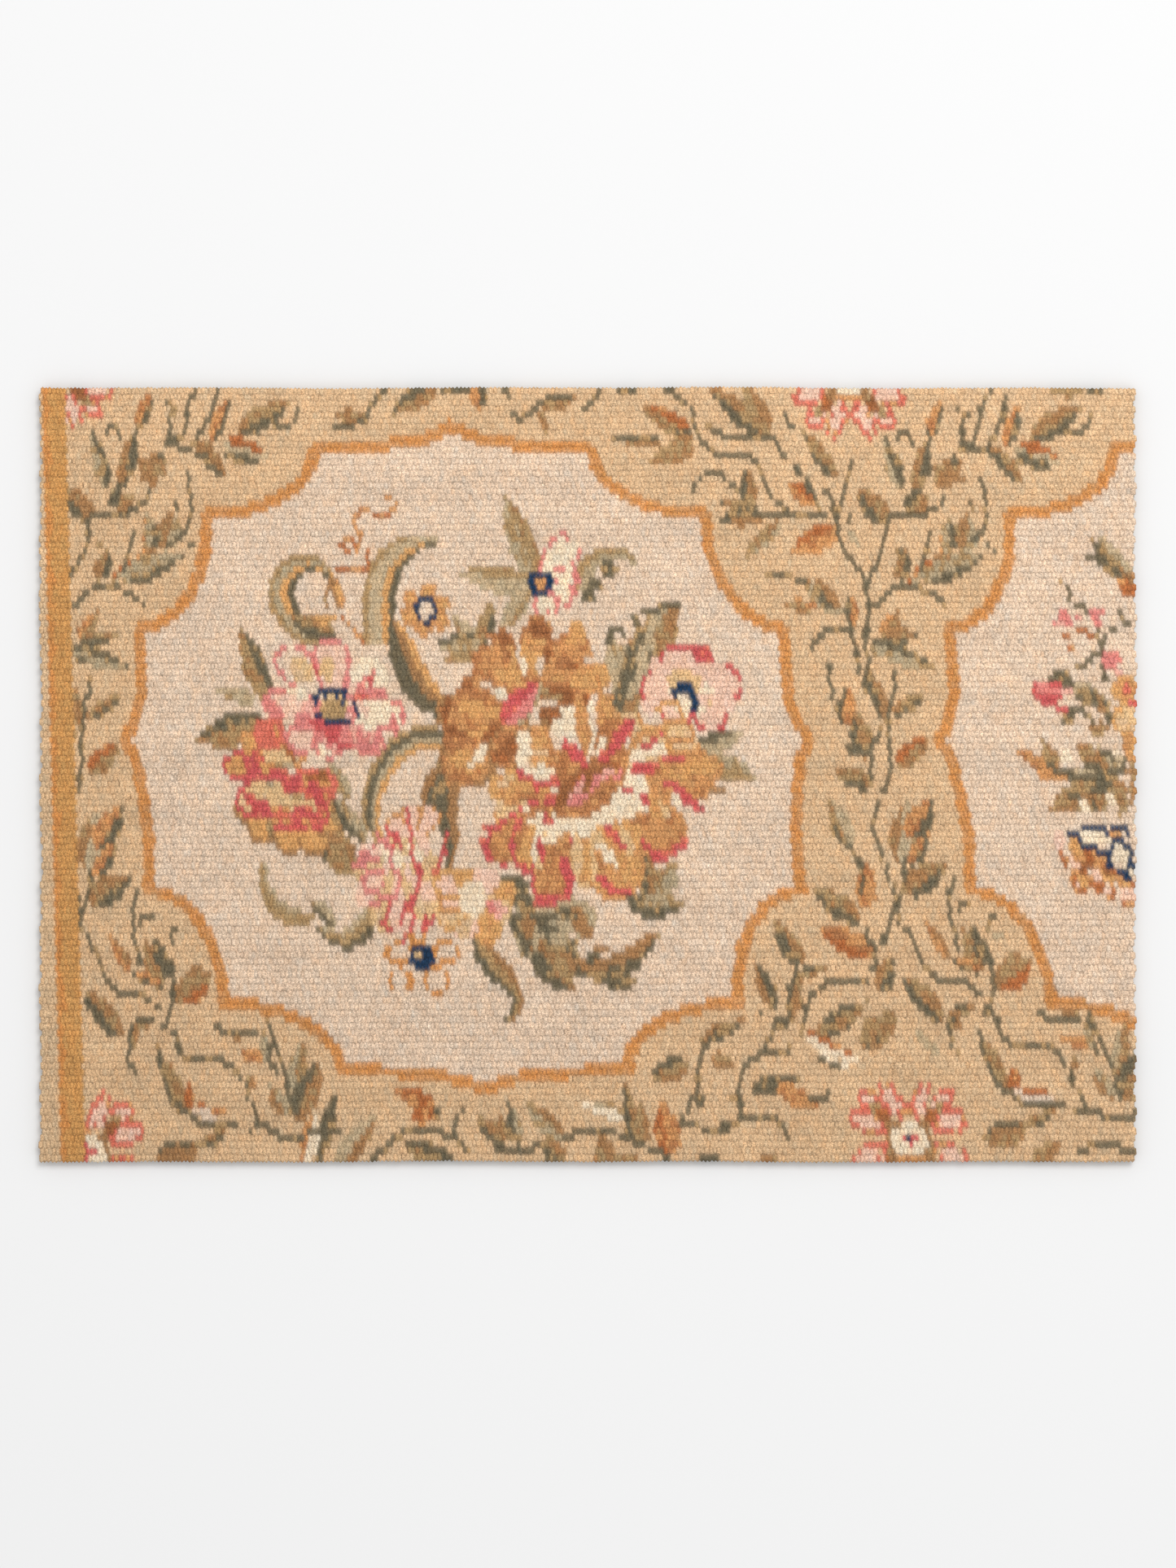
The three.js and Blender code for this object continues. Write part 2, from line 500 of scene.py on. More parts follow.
# The leaves of the vine: base across and along, tip across and along, width, dark yarn and light yarn.
VINE_LEAVES = [
    (158, 257, 112, 298, 14, MOSS, BROWN),
    (157, 262, 140, 298, -13, BROWN, OLIVE),
    (207, 227, 183, 265, 10, MOSS, BROWN),
    (188, 205, 168, 226, -10, RUST, AMBER),
    (139, 206, 138, 233, 11, MOSS, BROWN),
    (145, 204, 113, 210, 8, MOSS, BROWN),
    (150, 199, 112, 194, 11, BROWN, MOSS),
    (161, 194, 131, 165, 9, SAGE, OLIVE),
    (243, 193, 224, 220, 15, MOSS, BROWN),
    (206, 189, 168, 171, -15, RUST, AMBER),
    (204, 123, 173, 150, -12, BROWN, SAGE),
    (200, 126, 183, 152, 9, MOSS, BROWN),
    (184, 128, 158, 131, -8, AMBER, OLIVE),
    (210, 112, 213, 140, 9, MOSS, AMBER),
    (233, 104, 248, 126, 10, AMBER, BROWN),
    (234, 104, 263, 108, -9, MOSS, BROWN),
    (223, 100, 272, 82, 12, MOSS, SAGE),
    (224, 94, 240, 89, -5, MOSS, SAGE),
    (198, 38, 204, 66, 12, MOSS, AMBER),
    (213, 12, 208, 50, 13, MOSS, BROWN),
    (216, 17, 194, 20, 6, MOSS, MOSS),
    (232, 38, 221, 82, 9, MOSS, BROWN),
    (237, 46, 265, 64, -9, MOSS, OLIVE),
    (237, 6, 262, 28, 13, RUST, BROWN),
    (218, -9, 187, 5, 12, MOSS, BROWN),
    (196, -56, 184, -18, 13, OLIVE, PALE_SAGE),
    (233, -66, 242, -21, 15, BROWN, PALE_SAGE),
    (241, -50, 262, -17, -15, MOSS, AMBER),
    (240, -70, 257, -45, -10, MOSS, AMBER),
    (235, -91, 268, -68, -17, MOSS, BROWN),
    (200, -113, 164, -85, 14, MOSS, OLIVE),
    (204, -103, 208, -64, -13, AMBER, AMBER),
    (208, -139, 167, -116, 15, RUST, AMBER),
    (152, -146, 135, -112, -13, BROWN, MOSS),
    (131, -180, 118, -142, 10, BROWN, MOSS),
    (141, -190, 151, -143, 9, MOSS, BROWN),
    (152, -153, 173, -146, 7, MOSS, BROWN),
    (212, -166, 220, -138, 12, BROWN, MOSS),
    (164, -196, 201, -173, 12, MOSS, BROWN),
    (158, -198, 191, -190, -8, MOSS, BROWN),
    (150, -199, 190, -219, 10, RUST, CREAM),
    (158, -214, 187, -227, -7, MOSS, CREAM),
    (194, -207, 221, -182, 17, OLIVE, BROWN),
    (193, -206, 219, -197, -7, MOSS, BROWN),
    (257, -189, 229, -153, 14, MOSS, BROWN),
    (140, -194, 128, -188, 9, MOSS, MOSS),
    (108, -241, 147, -233, 11, MOSS, MOSS),
    (128, -239, 160, -257, -12, AMBER, AMBER),
    (72, -205, 107, -188, -10, MOSS, BROWN),
    (64, -222, 33, -231, -14, MOSS, OLIVE),
    (80, -216, 97, -224, -10, BROWN, OLIVE),
    (62, -247, 77, -251, 8, MOSS, MOSS),
    (45, -293, 41, -249, 15, RUST, AMBER),
    (20, -284, 14, -236, 10, MOSS, OLIVE),
    (27, -284, 25, -248, 7, OLIVE, BROWN),
    (14, -262, -22, -249, -9, SAGE, CREAM),
    (-68, -285, -74, -249, -8, SAGE, MOSS),
    (-34, -281, -61, -251, -12, BROWN, SAGE),
    (-84, -285, -80, -262, -13, OLIVE, BROWN),
    (-34, -297, -52, -281, 12, MOSS, BROWN),
    (-2, -299, -6, -276, 13, OLIVE, BROWN),
    (22, -299, -2, -291, 10, BROWN, BROWN),
    (-130, -256, -159, -241, -12, RUST, AMBER),
    (-142, -268, -132, -246, 13, RUST, RUST),
    (-124, -262, -132, -257, 5, MOSS, MOSS),
    (-118, -299, -154, -284, -14, MOSS, OLIVE),
    (-78, -284, -98, -262, 12, MOSS, BROWN),
    (-203, -298, -175, -262, -13, BROWN, PALE_SAGE),
    (-219, -296, -203, -244, 9, MOSS, MOSS),
    (-228, -298, -219, -257, 10, AMBER, CREAM),
    (-157, 272, -183, 278, 9, BROWN, OLIVE),
    (-101, 298, -138, 276, -13, MOSS, BROWN),
    (-69, 280, -69, 300, -11, MOSS, AMBER),
    (-16, 262, -22, 280, 5, BROWN, BROWN),
    (-20, 278, 10, 292, -9, BROWN, OLIVE),
    (97, 258, 58, 284, -14, RUST, BROWN),
    (72, 255, 34, 258, 9, BROWN, MOSS),
    (99, 251, 62, 240, 12, BROWN, OLIVE),
    (96, 262, 74, 261, 5, MOSS, MOSS),
    (124, -298, 110, -291, 8, BROWN, BROWN),
]

EDGE_LEAVES = [
    (283, 260, 294, 288, -9, MOSS, AMBER),
    (268, 216, 278, 256, -10, MOSS, BROWN),
    (258, 217, 247, 260, 10, SAGE, MOSS),
    (262, 203, 279, 212, -10, BROWN, BROWN),
    (260, 203, 270, 222, 7, MOSS, MOSS),
    (284, 220, 306, 240, 9, BROWN, BROWN),
    (282, 236, 308, 224, 9, BROWN, BROWN),
    (292, 218, 296, 244, 9, BROWN, BROWN),
    (333, 247, 351, 224, -11, MOSS, BROWN),
    (327, 247, 340, 251, 6, BROWN, BROWN),
    (341, 252, 355, 284, -9, MOSS, AMBER),
    (361, 258, 403, 282, -14, MOSS, OLIVE),
    (349, 250, 384, 240, 13, RUST, PALE_SAGE),
    (347, 243, 378, 236, 7, MOSS, MOSS),
    (380, 294, 408, 292, 6, OLIVE, OLIVE),
    (300, 170, 308, 200, -16, SAGE, BROWN),
    (287, 165, 288, 198, 6, AMBER, SAGE),
    (290, 170, 292, 196, -9, MOSS, SAGE),
    (284, 153, 292, 172, -16, BROWN, BROWN),
    (258, 147, 283, 167, 7, RUST, SAGE),
    (249, 148, 258, 173, -10, MOSS, BROWN),
    (268, 147, 318, 170, -13, MOSS, SAGE),
    (262, -197, 268, -182, 8, MOSS, BROWN),
    (262, -183, 282, -177, 7, MOSS, BROWN),
    (288, -151, 277, -118, 11, OLIVE, BROWN),
    (296, -146, 283, -117, -9, MOSS, MOSS),
    (264, -140, 249, -112, -8, BROWN, AMBER),
    (290, -152, 262, -139, 7, MOSS, AMBER),
    (299, -163, 327, -142, -16, RUST, BROWN),
    (304, -148, 328, -142, 12, BROWN, OLIVE),
    (303, -248, 282, -199, 9, MOSS, OLIVE),
    (300, -247, 291, -206, 9, OLIVE, BROWN),
    (306, -243, 306, -222, 7, RUST, RUST),
    (306, -243, 336, -247, 8, RUST, IVORY),
    (279, -281, 316, -266, 13, MOSS, BROWN),
    (284, -279, 312, -276, 14, BROWN, BROWN),
    (312, -272, 334, -257, -8, MOSS, OLIVE),
    (338, -190, 358, -183, 6, BROWN, BROWN),
    (366, -206, 343, -202, -9, AMBER, AMBER),
    (366, -208, 364, -186, -8, MOSS, SAGE),
    (383, -238, 393, -190, 11, SAGE, OLIVE),
    (386, -252, 405, -206, 15, MOSS, BROWN),
    (380, -248, 366, -224, 10, BROWN, SAGE),
    (355, -226, 350, -216, 5, BROWN, BROWN),
    (316, -296, 338, -280, 9, OLIVE, BROWN),
]


def knot_vine(chart, stems, leaves, shift=(0, 0), stretch=1.0):
    def moved(u, v):
        return u + shift[0], v * stretch + shift[1]

    for u0, v0, u1, v1, width, dark, light in leaves:
        chart.leaf(moved(u0, v0), moved(u1, v1), width, dark, light)
    for points in stems:
        chart.stitch(MOSS, *[moved(u, v) for u, v in points])


# The border: a beige strip, then a gold stripe with a thin ragged rust line on its outer side.
STRIPE = (-409.5, -391.5)


def knot_border(chart):
    chart.paint(chart.across < STRIPE[0], BEIGE)
    wavy = 1.6 * np.sin(chart.along / 7.3) + 1.2 * np.sin(chart.along / 2.9)
    chart.paint((chart.across > STRIPE[0]) & (chart.across < STRIPE[1]), STRIPE_GOLD)
    chart.paint((chart.across > STRIPE[0] - 1) & (chart.across < STRIPE[0] + 3.4 + wavy), CARAMEL)


def knot_pink_flower(chart):
    """The open flower at the left of the bouquet, with a boxed heart."""
    centre = (-191, 53)
    for angle, end, width, rim, fill, throat in (
        (178, 56, 30, ROSE, BLUSH, PINK), (133, 60, 36, ROSE, IVORY, None),
        (38, 50, 34, CREAM, CREAM, BLUSH), (350, 54, 32, ROSE, CREAM, BLUSH),
        (222, 50, 30, ROSE, BLUSH, PINK), (258, 42, 28, ROSE, PINK, CRIMSON),
        (290, 36, 24, CRIMSON, ROSE, CRIMSON), (312, 50, 28, ROSE, PINK, None),
        (92, 52, 34, ROSE, BLUSH, None),
    ):
        chart.petal(centre, angle, 6, end, width, rim, fill, throat, rim_width=4)
    chart.strokes(STRAW, (-210, 70, -222, 90, 16), (-196, 72, -196, 90, 12))
    chart.strokes(
        CREAM, (-170, 56, -150, 52, 9), (-176, 44, -160, 36, 9), (-210, 60, -228, 66, 7),
        (-206, 24, -196, 14, 6),
    )
    chart.strokes(
        ROSE, (-246, 60, -232, 44, 8), (-178, 60, -152, 66, 10), (-172, 68, -160, 78, 5),
        (-148, 46, -146, 30, 5), (-176, 34, -166, 20, 7), (-164, 24, -158, 14, 6),
        (-226, 34, -206, 40, 9),
    )
    chart.strokes(
        CRIMSON, (-212, 44, -200, 36, 8), (-202, 36, -190, 24, 7), (-178, 57, -162, 62, 5),
        (-165, 66, -162, 78, 4), (-206, 84, -204, 74, 4),
    )
    chart.disc((-192, 52), 11, STRAW, squash=0.9)
    chart.disc((-192, 49), 10, OLIVE, squash=0.7)
    chart.strokes(
        NAVY, (-204, 64, -180, 64, 5), (-200, 40, -178, 40, 5), (-205, 62, -207, 54, 5),
        (-206, 50, -203, 43, 4), (-178, 58, -174, 48, 5), (-175, 46, -171, 42, 4),
        (-197, 62, -199, 55, 4), (-190, 62, -191, 55, 4), (-184, 60, -184, 54, 4),
    )


def knot_coral_rose(chart):
    """The full rose at the left, with gold lobes below and pale pockets."""
    for u, v, radius in (
        (-262, -24, 10), (-250, -40, 11), (-231, -48, 11), (-212, -48, 12), (-201, -36, 10),
    ):
        chart.ring((u, v - 2), radius + 1, BROWN, GOLD)
        chart.disc((u, v + 2), radius - 1, GOLD)
    for base, tip, width, rim, fill in (
        ((-236, 2), (-280, 8), 26, CRIMSON, GOLD), ((-238, 8), (-262, 32), 24, AMBER, GOLD),
        ((-236, 10), (-246, 44), 28, CORAL, CORAL), ((-228, 4), (-224, 24), 26, AMBER, STRAW),
        ((-232, -4), (-268, -28), 34, CRIMSON, STRAW), ((-230, -6), (-236, -44), 34, CRIMSON, CORAL),
        ((-226, -8), (-206, -42), 34, CRIMSON, CORAL), ((-224, -4), (-192, -14), 32, CORAL, CORAL),
    ):
        chart.lobe(base, tip, width, rim, fill, rim_width=4.5)
    for u, v, radius, squash in (
        (-236, 14, 12, 0.6), (-247, -10, 12, 0.55), (-237, -18, 9, 0.8), (-219, -24, 11, 0.6),
    ):
        chart.disc((u, v), radius, STRAW, squash)
    chart.strokes(
        CRIMSON, (-262, 16, -250, -6, 9), (-244, 2, -218, -6, 10), (-214, -6, -202, -26, 9),
        (-262, -16, -242, -34, 10), (-226, -26, -204, -34, 9), (-256, 20, -248, 8, 7),
        (-230, -10, -220, -18, 6),
    )
    chart.strokes(SAGE, (-244, 10, -226, 8, 5), (-248, -6, -236, -4, 5), (-228, -16, -216, -18, 5))
    chart.strokes(UMBER, (-220, -1, -196, -1, 4), (-206, 4, -198, 0, 5), (-230, 24, -224, 10, 5))
    chart.strokes(OLIVE, (-246, -36, -244, -48, 5), (-196, -20, -194, -40, 5))


def knot_scroll_leaves(chart):
    """The tall curled leaves behind the flowers."""
    chart.band(
        [(-190, 104), (-212, 111), (-226, 126), (-229, 144), (-219, 158), (-204, 162), (-188, 153)],
        [14, 20, 20, 20, 20, 15, 6], [OLIVE, SAGE, GOLD, MOSS],
    )
    chart.leaves(
        (-188, 108, -224, 120, 14, MOSS, OLIVE), (-205, 118, -184, 122, 7, GOLD, GOLD),
    )
    chart.stitch(BROWN, (-188, 150), (-194, 142), (-195, 130))
    chart.leaf((-184, 128), (-188, 152), 7, BROWN, GOLD)
    chart.band([(-103, 180), (-124, 177), (-141, 166), (-151, 148), (-154, 126), (-155, 100)],
               [4, 16, 24, 26, 26, 24], [MOSS, GOLD, PALE_SAGE, PALE_SAGE, OLIVE])
    chart.band([(-144, 118), (-137, 96), (-131, 77), (-120, 60), (-102, 47)],
               [8, 22, 26, 24, 10], [GOLD, BROWN, MOSS, MOSS])
    chart.band([(-104, 28), (-128, 28), (-146, 18), (-157, 4), (-165, -14), (-167, -34), (-160, -52)],
               [10, 20, 18, 18, 16, 14, 6], [GOLD, SAGE, MOSS, OLIVE])
    chart.leaves(
        (-172, -52, -197, -15, 11, MOSS, SAGE), (-182, -18, -197, 9, 9, OLIVE, SAGE),
    )
    chart.band(
        [(-96, 12), (-105, -8), (-109, -32), (-107, -54), (-110, -72)], [8, 15, 15, 13, 5],
        [BROWN, MOSS],
    )
    chart.leaf((-125, -24), (-107, 14), 13, BROWN, MOSS)
    chart.stitches(
        RUST, [(-186, 124), (-176, 114), (-167, 102)], [(-185, 158), (-164, 158), (-160, 173)],
        [(-182, 175), (-176, 181), (-170, 176), (-178, 171)], [(-156, 198), (-143, 198)],
    )
    chart.stitches(
        AMBER, [(-170, 172), (-165, 181), (-170, 193), (-165, 202), (-158, 203)],
        [(-142, 200), (-137, 208)], [(-145, 213), (-139, 213)],
    )


def knot_left_leaves(chart):
    """The leaves round the left side of the bouquet."""
    chart.leaves(
        (-242, 56, -262, 114, -15, MOSS, OLIVE), (-250, 57, -282, 64, 9, SAGE, PALE_SAGE),
        (-246, 42, -300, 25, -20, MOSS, OLIVE), (-262, 38, -284, 18, 9, OLIVE, OLIVE),
        (-213, -42, -172, -78, -20, MOSS, OLIVE), (-200, -60, -184, -78, 12, OLIVE, OLIVE),
    )
    chart.band([(-251, -64), (-250, -85), (-243, -101), (-228, -109), (-212, -109)], [3, 8, 15, 15, 5],
               [SAGE, OLIVE, OLIVE])
    chart.band([(-168, -96), (-175, -114), (-189, -126), (-202, -123), (-214, -114)], [6, 17, 18, 12, 4],
               [MOSS, OLIVE, PALE_SAGE])
    chart.leaf((-198, -114), (-216, -95), 9, MOSS, PALE_SAGE)


def knot_top_leaves(chart):
    """The leaves and the small outlined flower at the top of the bouquet."""
    chart.leaves(
        (-32, 150, -52, 214, -17, OLIVE, SAGE), (-36, 146, -91, 154, -17, OLIVE, PALE_SAGE),
        (-38, 142, -60, 110, 12, OLIVE, PALE_SAGE), (-40, 136, -48, 118, 8, SAGE, SAGE),
    )
    chart.band([(0, 140), (6, 156), (20, 167), (37, 169), (50, 159)], [14, 16, 12, 8, 3], [OLIVE, SAGE])
    for base, tip in (((18, 156), (34, 160)), ((10, 149), (22, 142)), ((2, 138), (14, 134))):
        chart.leaf(base, tip, 9, MOSS, MOSS)
    centre = (-28, 147)
    for angle, end, width in ((52, 46, 30), (14, 33, 20), (336, 30, 20), (280, 28, 24)):
        chart.petal(centre, angle, 6, end, width, ROSE, CREAM, notch=4)
    chart.disc(centre, 9.5, NAVY, squash=1.1)
    chart.disc(centre, 5, AMBER, squash=1.1)


def knot_small_gold_flower(chart):
    chart.leaves(
        (-80, 98, -99, 124, 10, OLIVE, PALE_SAGE), (-77, 98, -67, 133, -11, MOSS, OLIVE),
        (-76, 103, -112, 99, -12, MOSS, SAGE), (-78, 94, -106, 88, 8, OLIVE, OLIVE),
    )
    centre = (-118, 126)
    for at in range(6):
        chart.petal(centre, 60 * at + 20, 5, 21, 15, AMBER, GOLD, rim_width=2.5)
    chart.disc(centre, 9, NAVY, squash=1.2)
    chart.disc(centre, 5.5, IVORY, squash=1.2)


def knot_peony(chart):
    """The big brown and gold flower in the middle, in chunky lobes with pale gaps."""
    chart.leaf((-88, 8), (-108, -10), 10, BROWN, GOLD)
    for base, tip, width, rim, fill in (
        ((-52, 56), (-113, 40), 46, BROWN, AMBER), ((-54, 50), (-108, -6), 50, BROWN, AMBER),
        ((-50, 58), (-88, 74), 26, RUSSET, AMBER), ((-52, 60), (-80, 96), 28, RUSSET, AMBER),
        ((-52, 60), (-60, 112), 22, RUSSET, AMBER), ((-48, 62), (-29, 121), 28, RUSSET, GOLD),
        ((-44, 64), (4, 106), 34, RUSSET, AMBER), ((-40, 62), (24, 78), 30, AMBER, GOLD),
    ):
        chart.lobe(base, tip, width, rim, fill, rim_width=4)
    chart.strokes(
        RUSSET, (-34, 108, -28, 121, 20), (-72, 106, -54, 104, 9), (-20, 86, 0, 82, 8),
        (-14, 96, 8, 96, 16), (-100, 62, -76, 66, 8), (-86, 66, -90, 78, 8), (-106, 44, -104, 20, 9),
        (-108, 22, -80, 18, 8), (-104, 6, -92, -4, 7), (-88, 60, -70, 46, 7),
    )
    chart.strokes(
        GOLD, (-34, 100, -36, 76, 13), (-54, 98, -52, 72, 8), (-72, 84, -54, 76, 13),
        (-8, 110, -2, 96, 12), (-2, 80, 20, 80, 14), (-98, 50, -72, 50, 13), (-104, 14, -80, 6, 15),
        (-90, 32, -74, 36, 8),
    )
    chart.strokes(
        CREAM, (-60, 40, -92, 4, 8), (-46, 92, -44, 78, 5), (-66, 66, -60, 58, 7),
        (-52, 50, -46, 34, 9),
    )
    chart.lobe((-48, 46), (-70, 4), 32, BROWN, RUSSET)
    chart.lobe((-42, 66), (-2, 58), 22, RUSSET, BROWN)
    chart.strokes(BROWN, (-34, 46, -16, 42, 22), (-48, 34, -60, 20, 8))
    chart.lobe((-36, 40), (-34, 8), 22, AMBER, GOLD)
    chart.strokes(
        CREAM, (-16, 52, -14, 26, 22), (-10, 48, 8, 52, 12), (-46, 34, -50, 6, 12), (2, 44, 6, 20, 10),
    )
    chart.strokes(AMBER, (-17, 94, 9, 94, 11), (-78, 90, -54, 90, 15), (-98, 44, -86, 34, 14))
    chart.strokes(
        GOLD, (-34, 99, -36, 74, 12), (-2, 118, -2, 99, 15), (-10, 74, 18, 76, 10),
        (-84, 48, -63, 48, 13), (-62, 82, -48, 66, 11),
    )
    chart.strokes(
        UMBER, (-39, 110, -22, 110, 15), (-64, 104, -53, 104, 7), (-16, 85, 1, 85, 5),
        (-25, 65, -8, 65, 6), (-17, 57, 5, 57, 13), (-34, 47, -18, 47, 13), (-65, 40, -80, 26, 8),
        (-53, 27, -70, 9, 15), (-103, 60, -108, 38, 6), (-108, 34, -92, 30, 8), (-27, 98, -25, 84, 4),
        (-92, 70, -84, 68, 6),
    )
    chart.strokes(
        IVORY, (-31, 92, -32, 74, 5), (-48, 99, -48, 84, 4), (-34, 57, -20, 56, 5),
        (-78, 72, -68, 64, 5),
    )
    chart.lobe((-4, 64), (0, 16), 12, AMBER, GOLD)
    chart.lobe((16, 62), (20, 20), 22, AMBER, GOLD)
    chart.lobe((30, 60), (40, 26), 22, AMBER, STRAW)
    chart.leaves(
        (-64, 38, -32, 72, -17, SAGE, CRIMSON), (-60, 40, -34, 66, 10, CRIMSON, ROSE),
    )


def knot_serrated_leaf(chart):
    """The tall leaf to the right of the peony, with its lobes."""
    chart.leaves(
        (28, 48, 76, 134, 30, SAGE, BROWN), (30, 56, 58, 124, 17, OLIVE, PALE_SAGE),
        (32, 60, 22, 112, 13, PALE_SAGE, SAGE),
    )
    chart.strokes(
        MOSS, (26, 46, 30, 74, 10), (30, 66, 40, 90, 11), (38, 84, 38, 98, 8), (20, 100, 26, 114, 7),
        (26, 112, 34, 108, 6), (36, 102, 32, 112, 5), (44, 96, 48, 112, 6), (46, 108, 42, 122, 6),
        (42, 122, 62, 125, 5), (60, 128, 80, 132, 6), (50, 84, 56, 96, 5),
    )


def knot_peach_flower(chart):
    """The pale flower at the right, its outline broken as if drawn in strokes."""
    centre = (80, 60)
    for angle, end, width in ((168, 36, 34), (92, 40, 46), (20, 44, 38), (316, 36, 30), (238, 28, 28)):
        chart.petal(centre, angle, 4, end, width, CRIMSON, BLUSH, CREAM, rim_width=3.5)
    for angle in (135, 55, 348, 196):
        chart.petal(centre, angle, 8, 38, 16, BLUSH, BLUSH, STRAW)
    chart.disc((78, 70), 13, STRAW, squash=0.8)
    chart.leaf((92, 84), (98, 102), 13, CRIMSON, CRIMSON)
    chart.stitches(
        NAVY, [(67, 62), (72, 67), (82, 67), (86, 58), (84, 48)],
        [(69, 60), (74, 65), (81, 64), (84, 58), (82, 49)],
    )
    chart.stitch(GOLD, (56, 52), (70, 54), (76, 46))


def knot_lily(chart):
    """The open gold lily, lowest and largest: ruffled lobes round a brown and pink heart."""
    for base, tip, width, rim, fill in (
        ((24, -2), (84, 34), 44, AMBER, STRAW), ((30, -4), (103, 6), 34, AMBER, GOLD),
        ((36, -8), (92, -12), 26, AMBER, AMBER), ((-8, -4), (-78, -12), 30, GOLD, GOLD),
        ((-20, -18), (-74, -34), 22, AMBER, STRAW), ((-12, -4), (-44, 14), 22, SAND, GOLD),
        ((-34, -24), (-78, -66), 36, CRIMSON, AMBER), ((-30, -26), (-52, -78), 26, GOLD, GOLD),
        ((-24, -28), (-36, -100), 38, CRIMSON, AMBER), ((0, -30), (24, -94), 54, AMBER, GOLD),
        ((-6, -40), (-8, -86), 22, STRAW, GOLD), ((26, -14), (64, -58), 50, AMBER, AMBER),
    ):
        chart.lobe(base, tip, width, rim, fill)
    chart.disc((2, -14), 30, CREAM, squash=0.85)
    for u, v, radius in (
        (-32, -44, 10), (-44, -30, 9), (34, -8, 12), (44, -22, 9), (26, -24, 12), (-6, -40, 11),
        (-20, -34, 10), (-34, 2, 8), (-50, 2, 6),
    ):
        chart.disc((u, v), radius, CREAM, squash=0.9)
    chart.strokes(
        RUSSET, (-32, 8, 0, 6, 13), (-24, -2, -12, -12, 11), (0, 6, 34, 14, 15),
        (-20, -10, -26, -26, 6), (-30, -24, -54, -32, 7), (8, 20, 24, 44, 15),
    )
    chart.strokes(
        AMBER, (-30, 12, -12, 20, 9), (-30, 0, -24, -8, 6), (26, 22, 34, 8, 8), (-62, -22, -34, -12, 6),
        (60, 26, 86, 28, 5), (50, 4, 96, -2, 6), (36, 34, 62, 30, 6), (4, -60, 12, -86, 7),
    )
    chart.strokes(
        GOLD, (44, 36, 66, 36, 8), (52, 20, 82, 22, 9), (56, 0, 100, 6, 10), (48, -16, 52, -36, 11),
        (22, -36, 36, -56, 18),
    )
    chart.strokes(
        STRAW, (-37, -42, -42, -72, 7), (-12, -42, -10, -76, 8), (2, -42, 8, -60, 8),
        (22, -40, 30, -62, 8), (-58, -26, -74, -24, 7), (-56, -2, -70, -8, 6), (66, 20, 82, 24, 6),
        (52, -20, 60, -34, 6),
    )
    chart.strokes(
        CREAM, (30, 14, 60, 17, 7), (40, 24, 60, 22, 6), (64, -14, 74, -26, 8), (4, -52, 18, -70, 8),
        (-38, -40, -44, -66, 8), (14, 30, 8, 14, 6),
    )
    chart.strokes(
        CRIMSON, (-18, 26, 0, 7, 10), (20, 20, 36, 42, 12), (8, 10, 24, 22, 8), (32, 4, 54, 6, 9),
        (40, 18, 60, 31, 5), (56, 11, 75, 12, 6), (56, -6, 73, -12, 6), (70, -15, 86, -29, 8),
        (-54, 2, -41, -6, 6), (-44, -10, -20, -4, 8), (-36, -20, -24, -18, 7), (-40, -44, -38, -68, 5),
        (-40, -40, -24, -32, 5), (-54, -32, -60, -46, 6), (-62, -48, -60, -66, 5),
        (-60, -66, -48, -76, 7), (-24, -60, -18, -90, 8), (-48, -98, -18, -92, 8),
        (-86, -46, -78, -66, 7), (-82, -42, -64, -37, 6), (2, -76, 14, -88, 7), (8, -87, 32, -92, 6),
        (8, -36, 26, -58, 6), (38, -14, 46, -24, 6), (24, -12, 36, -14, 6), (43, -62, 59, -62, 10),
        (39, -50, 46, -60, 5), (56, -62, 74, -50, 6),
    )
    chart.leaf((-26, -30), (32, 8), 25, UMBER, RUSSET)
    chart.strokes(RUSSET, (-22, -28, 6, -26, 8), (4, -20, 26, 0, 10))
    chart.strokes(PINK, (-16, -24, -2, -2, 6), (10, -4, 20, 6, 6))
    chart.strokes(ROSE, (-10, -26, -2, -12, 6), (1, -14, 8, 0, 6), (20, -4, 27, 3, 5))


def knot_right_leaves(chart):
    chart.leaves(
        (80, 17, 122, 33, 13, MOSS, PALE_SAGE), (94, 10, 128, -2, -15, OLIVE, SAGE),
        (84, -10, 106, -13, 7, OLIVE, OLIVE), (24, -98, 68, -101, -17, MOSS, SAGE),
        (43, -92, 64, -68, 15, OLIVE, SAGE), (42, -92, 41, -56, 11, MOSS, BROWN),
        (24, -97, 40, -92, 8, MOSS, MOSS),
    )


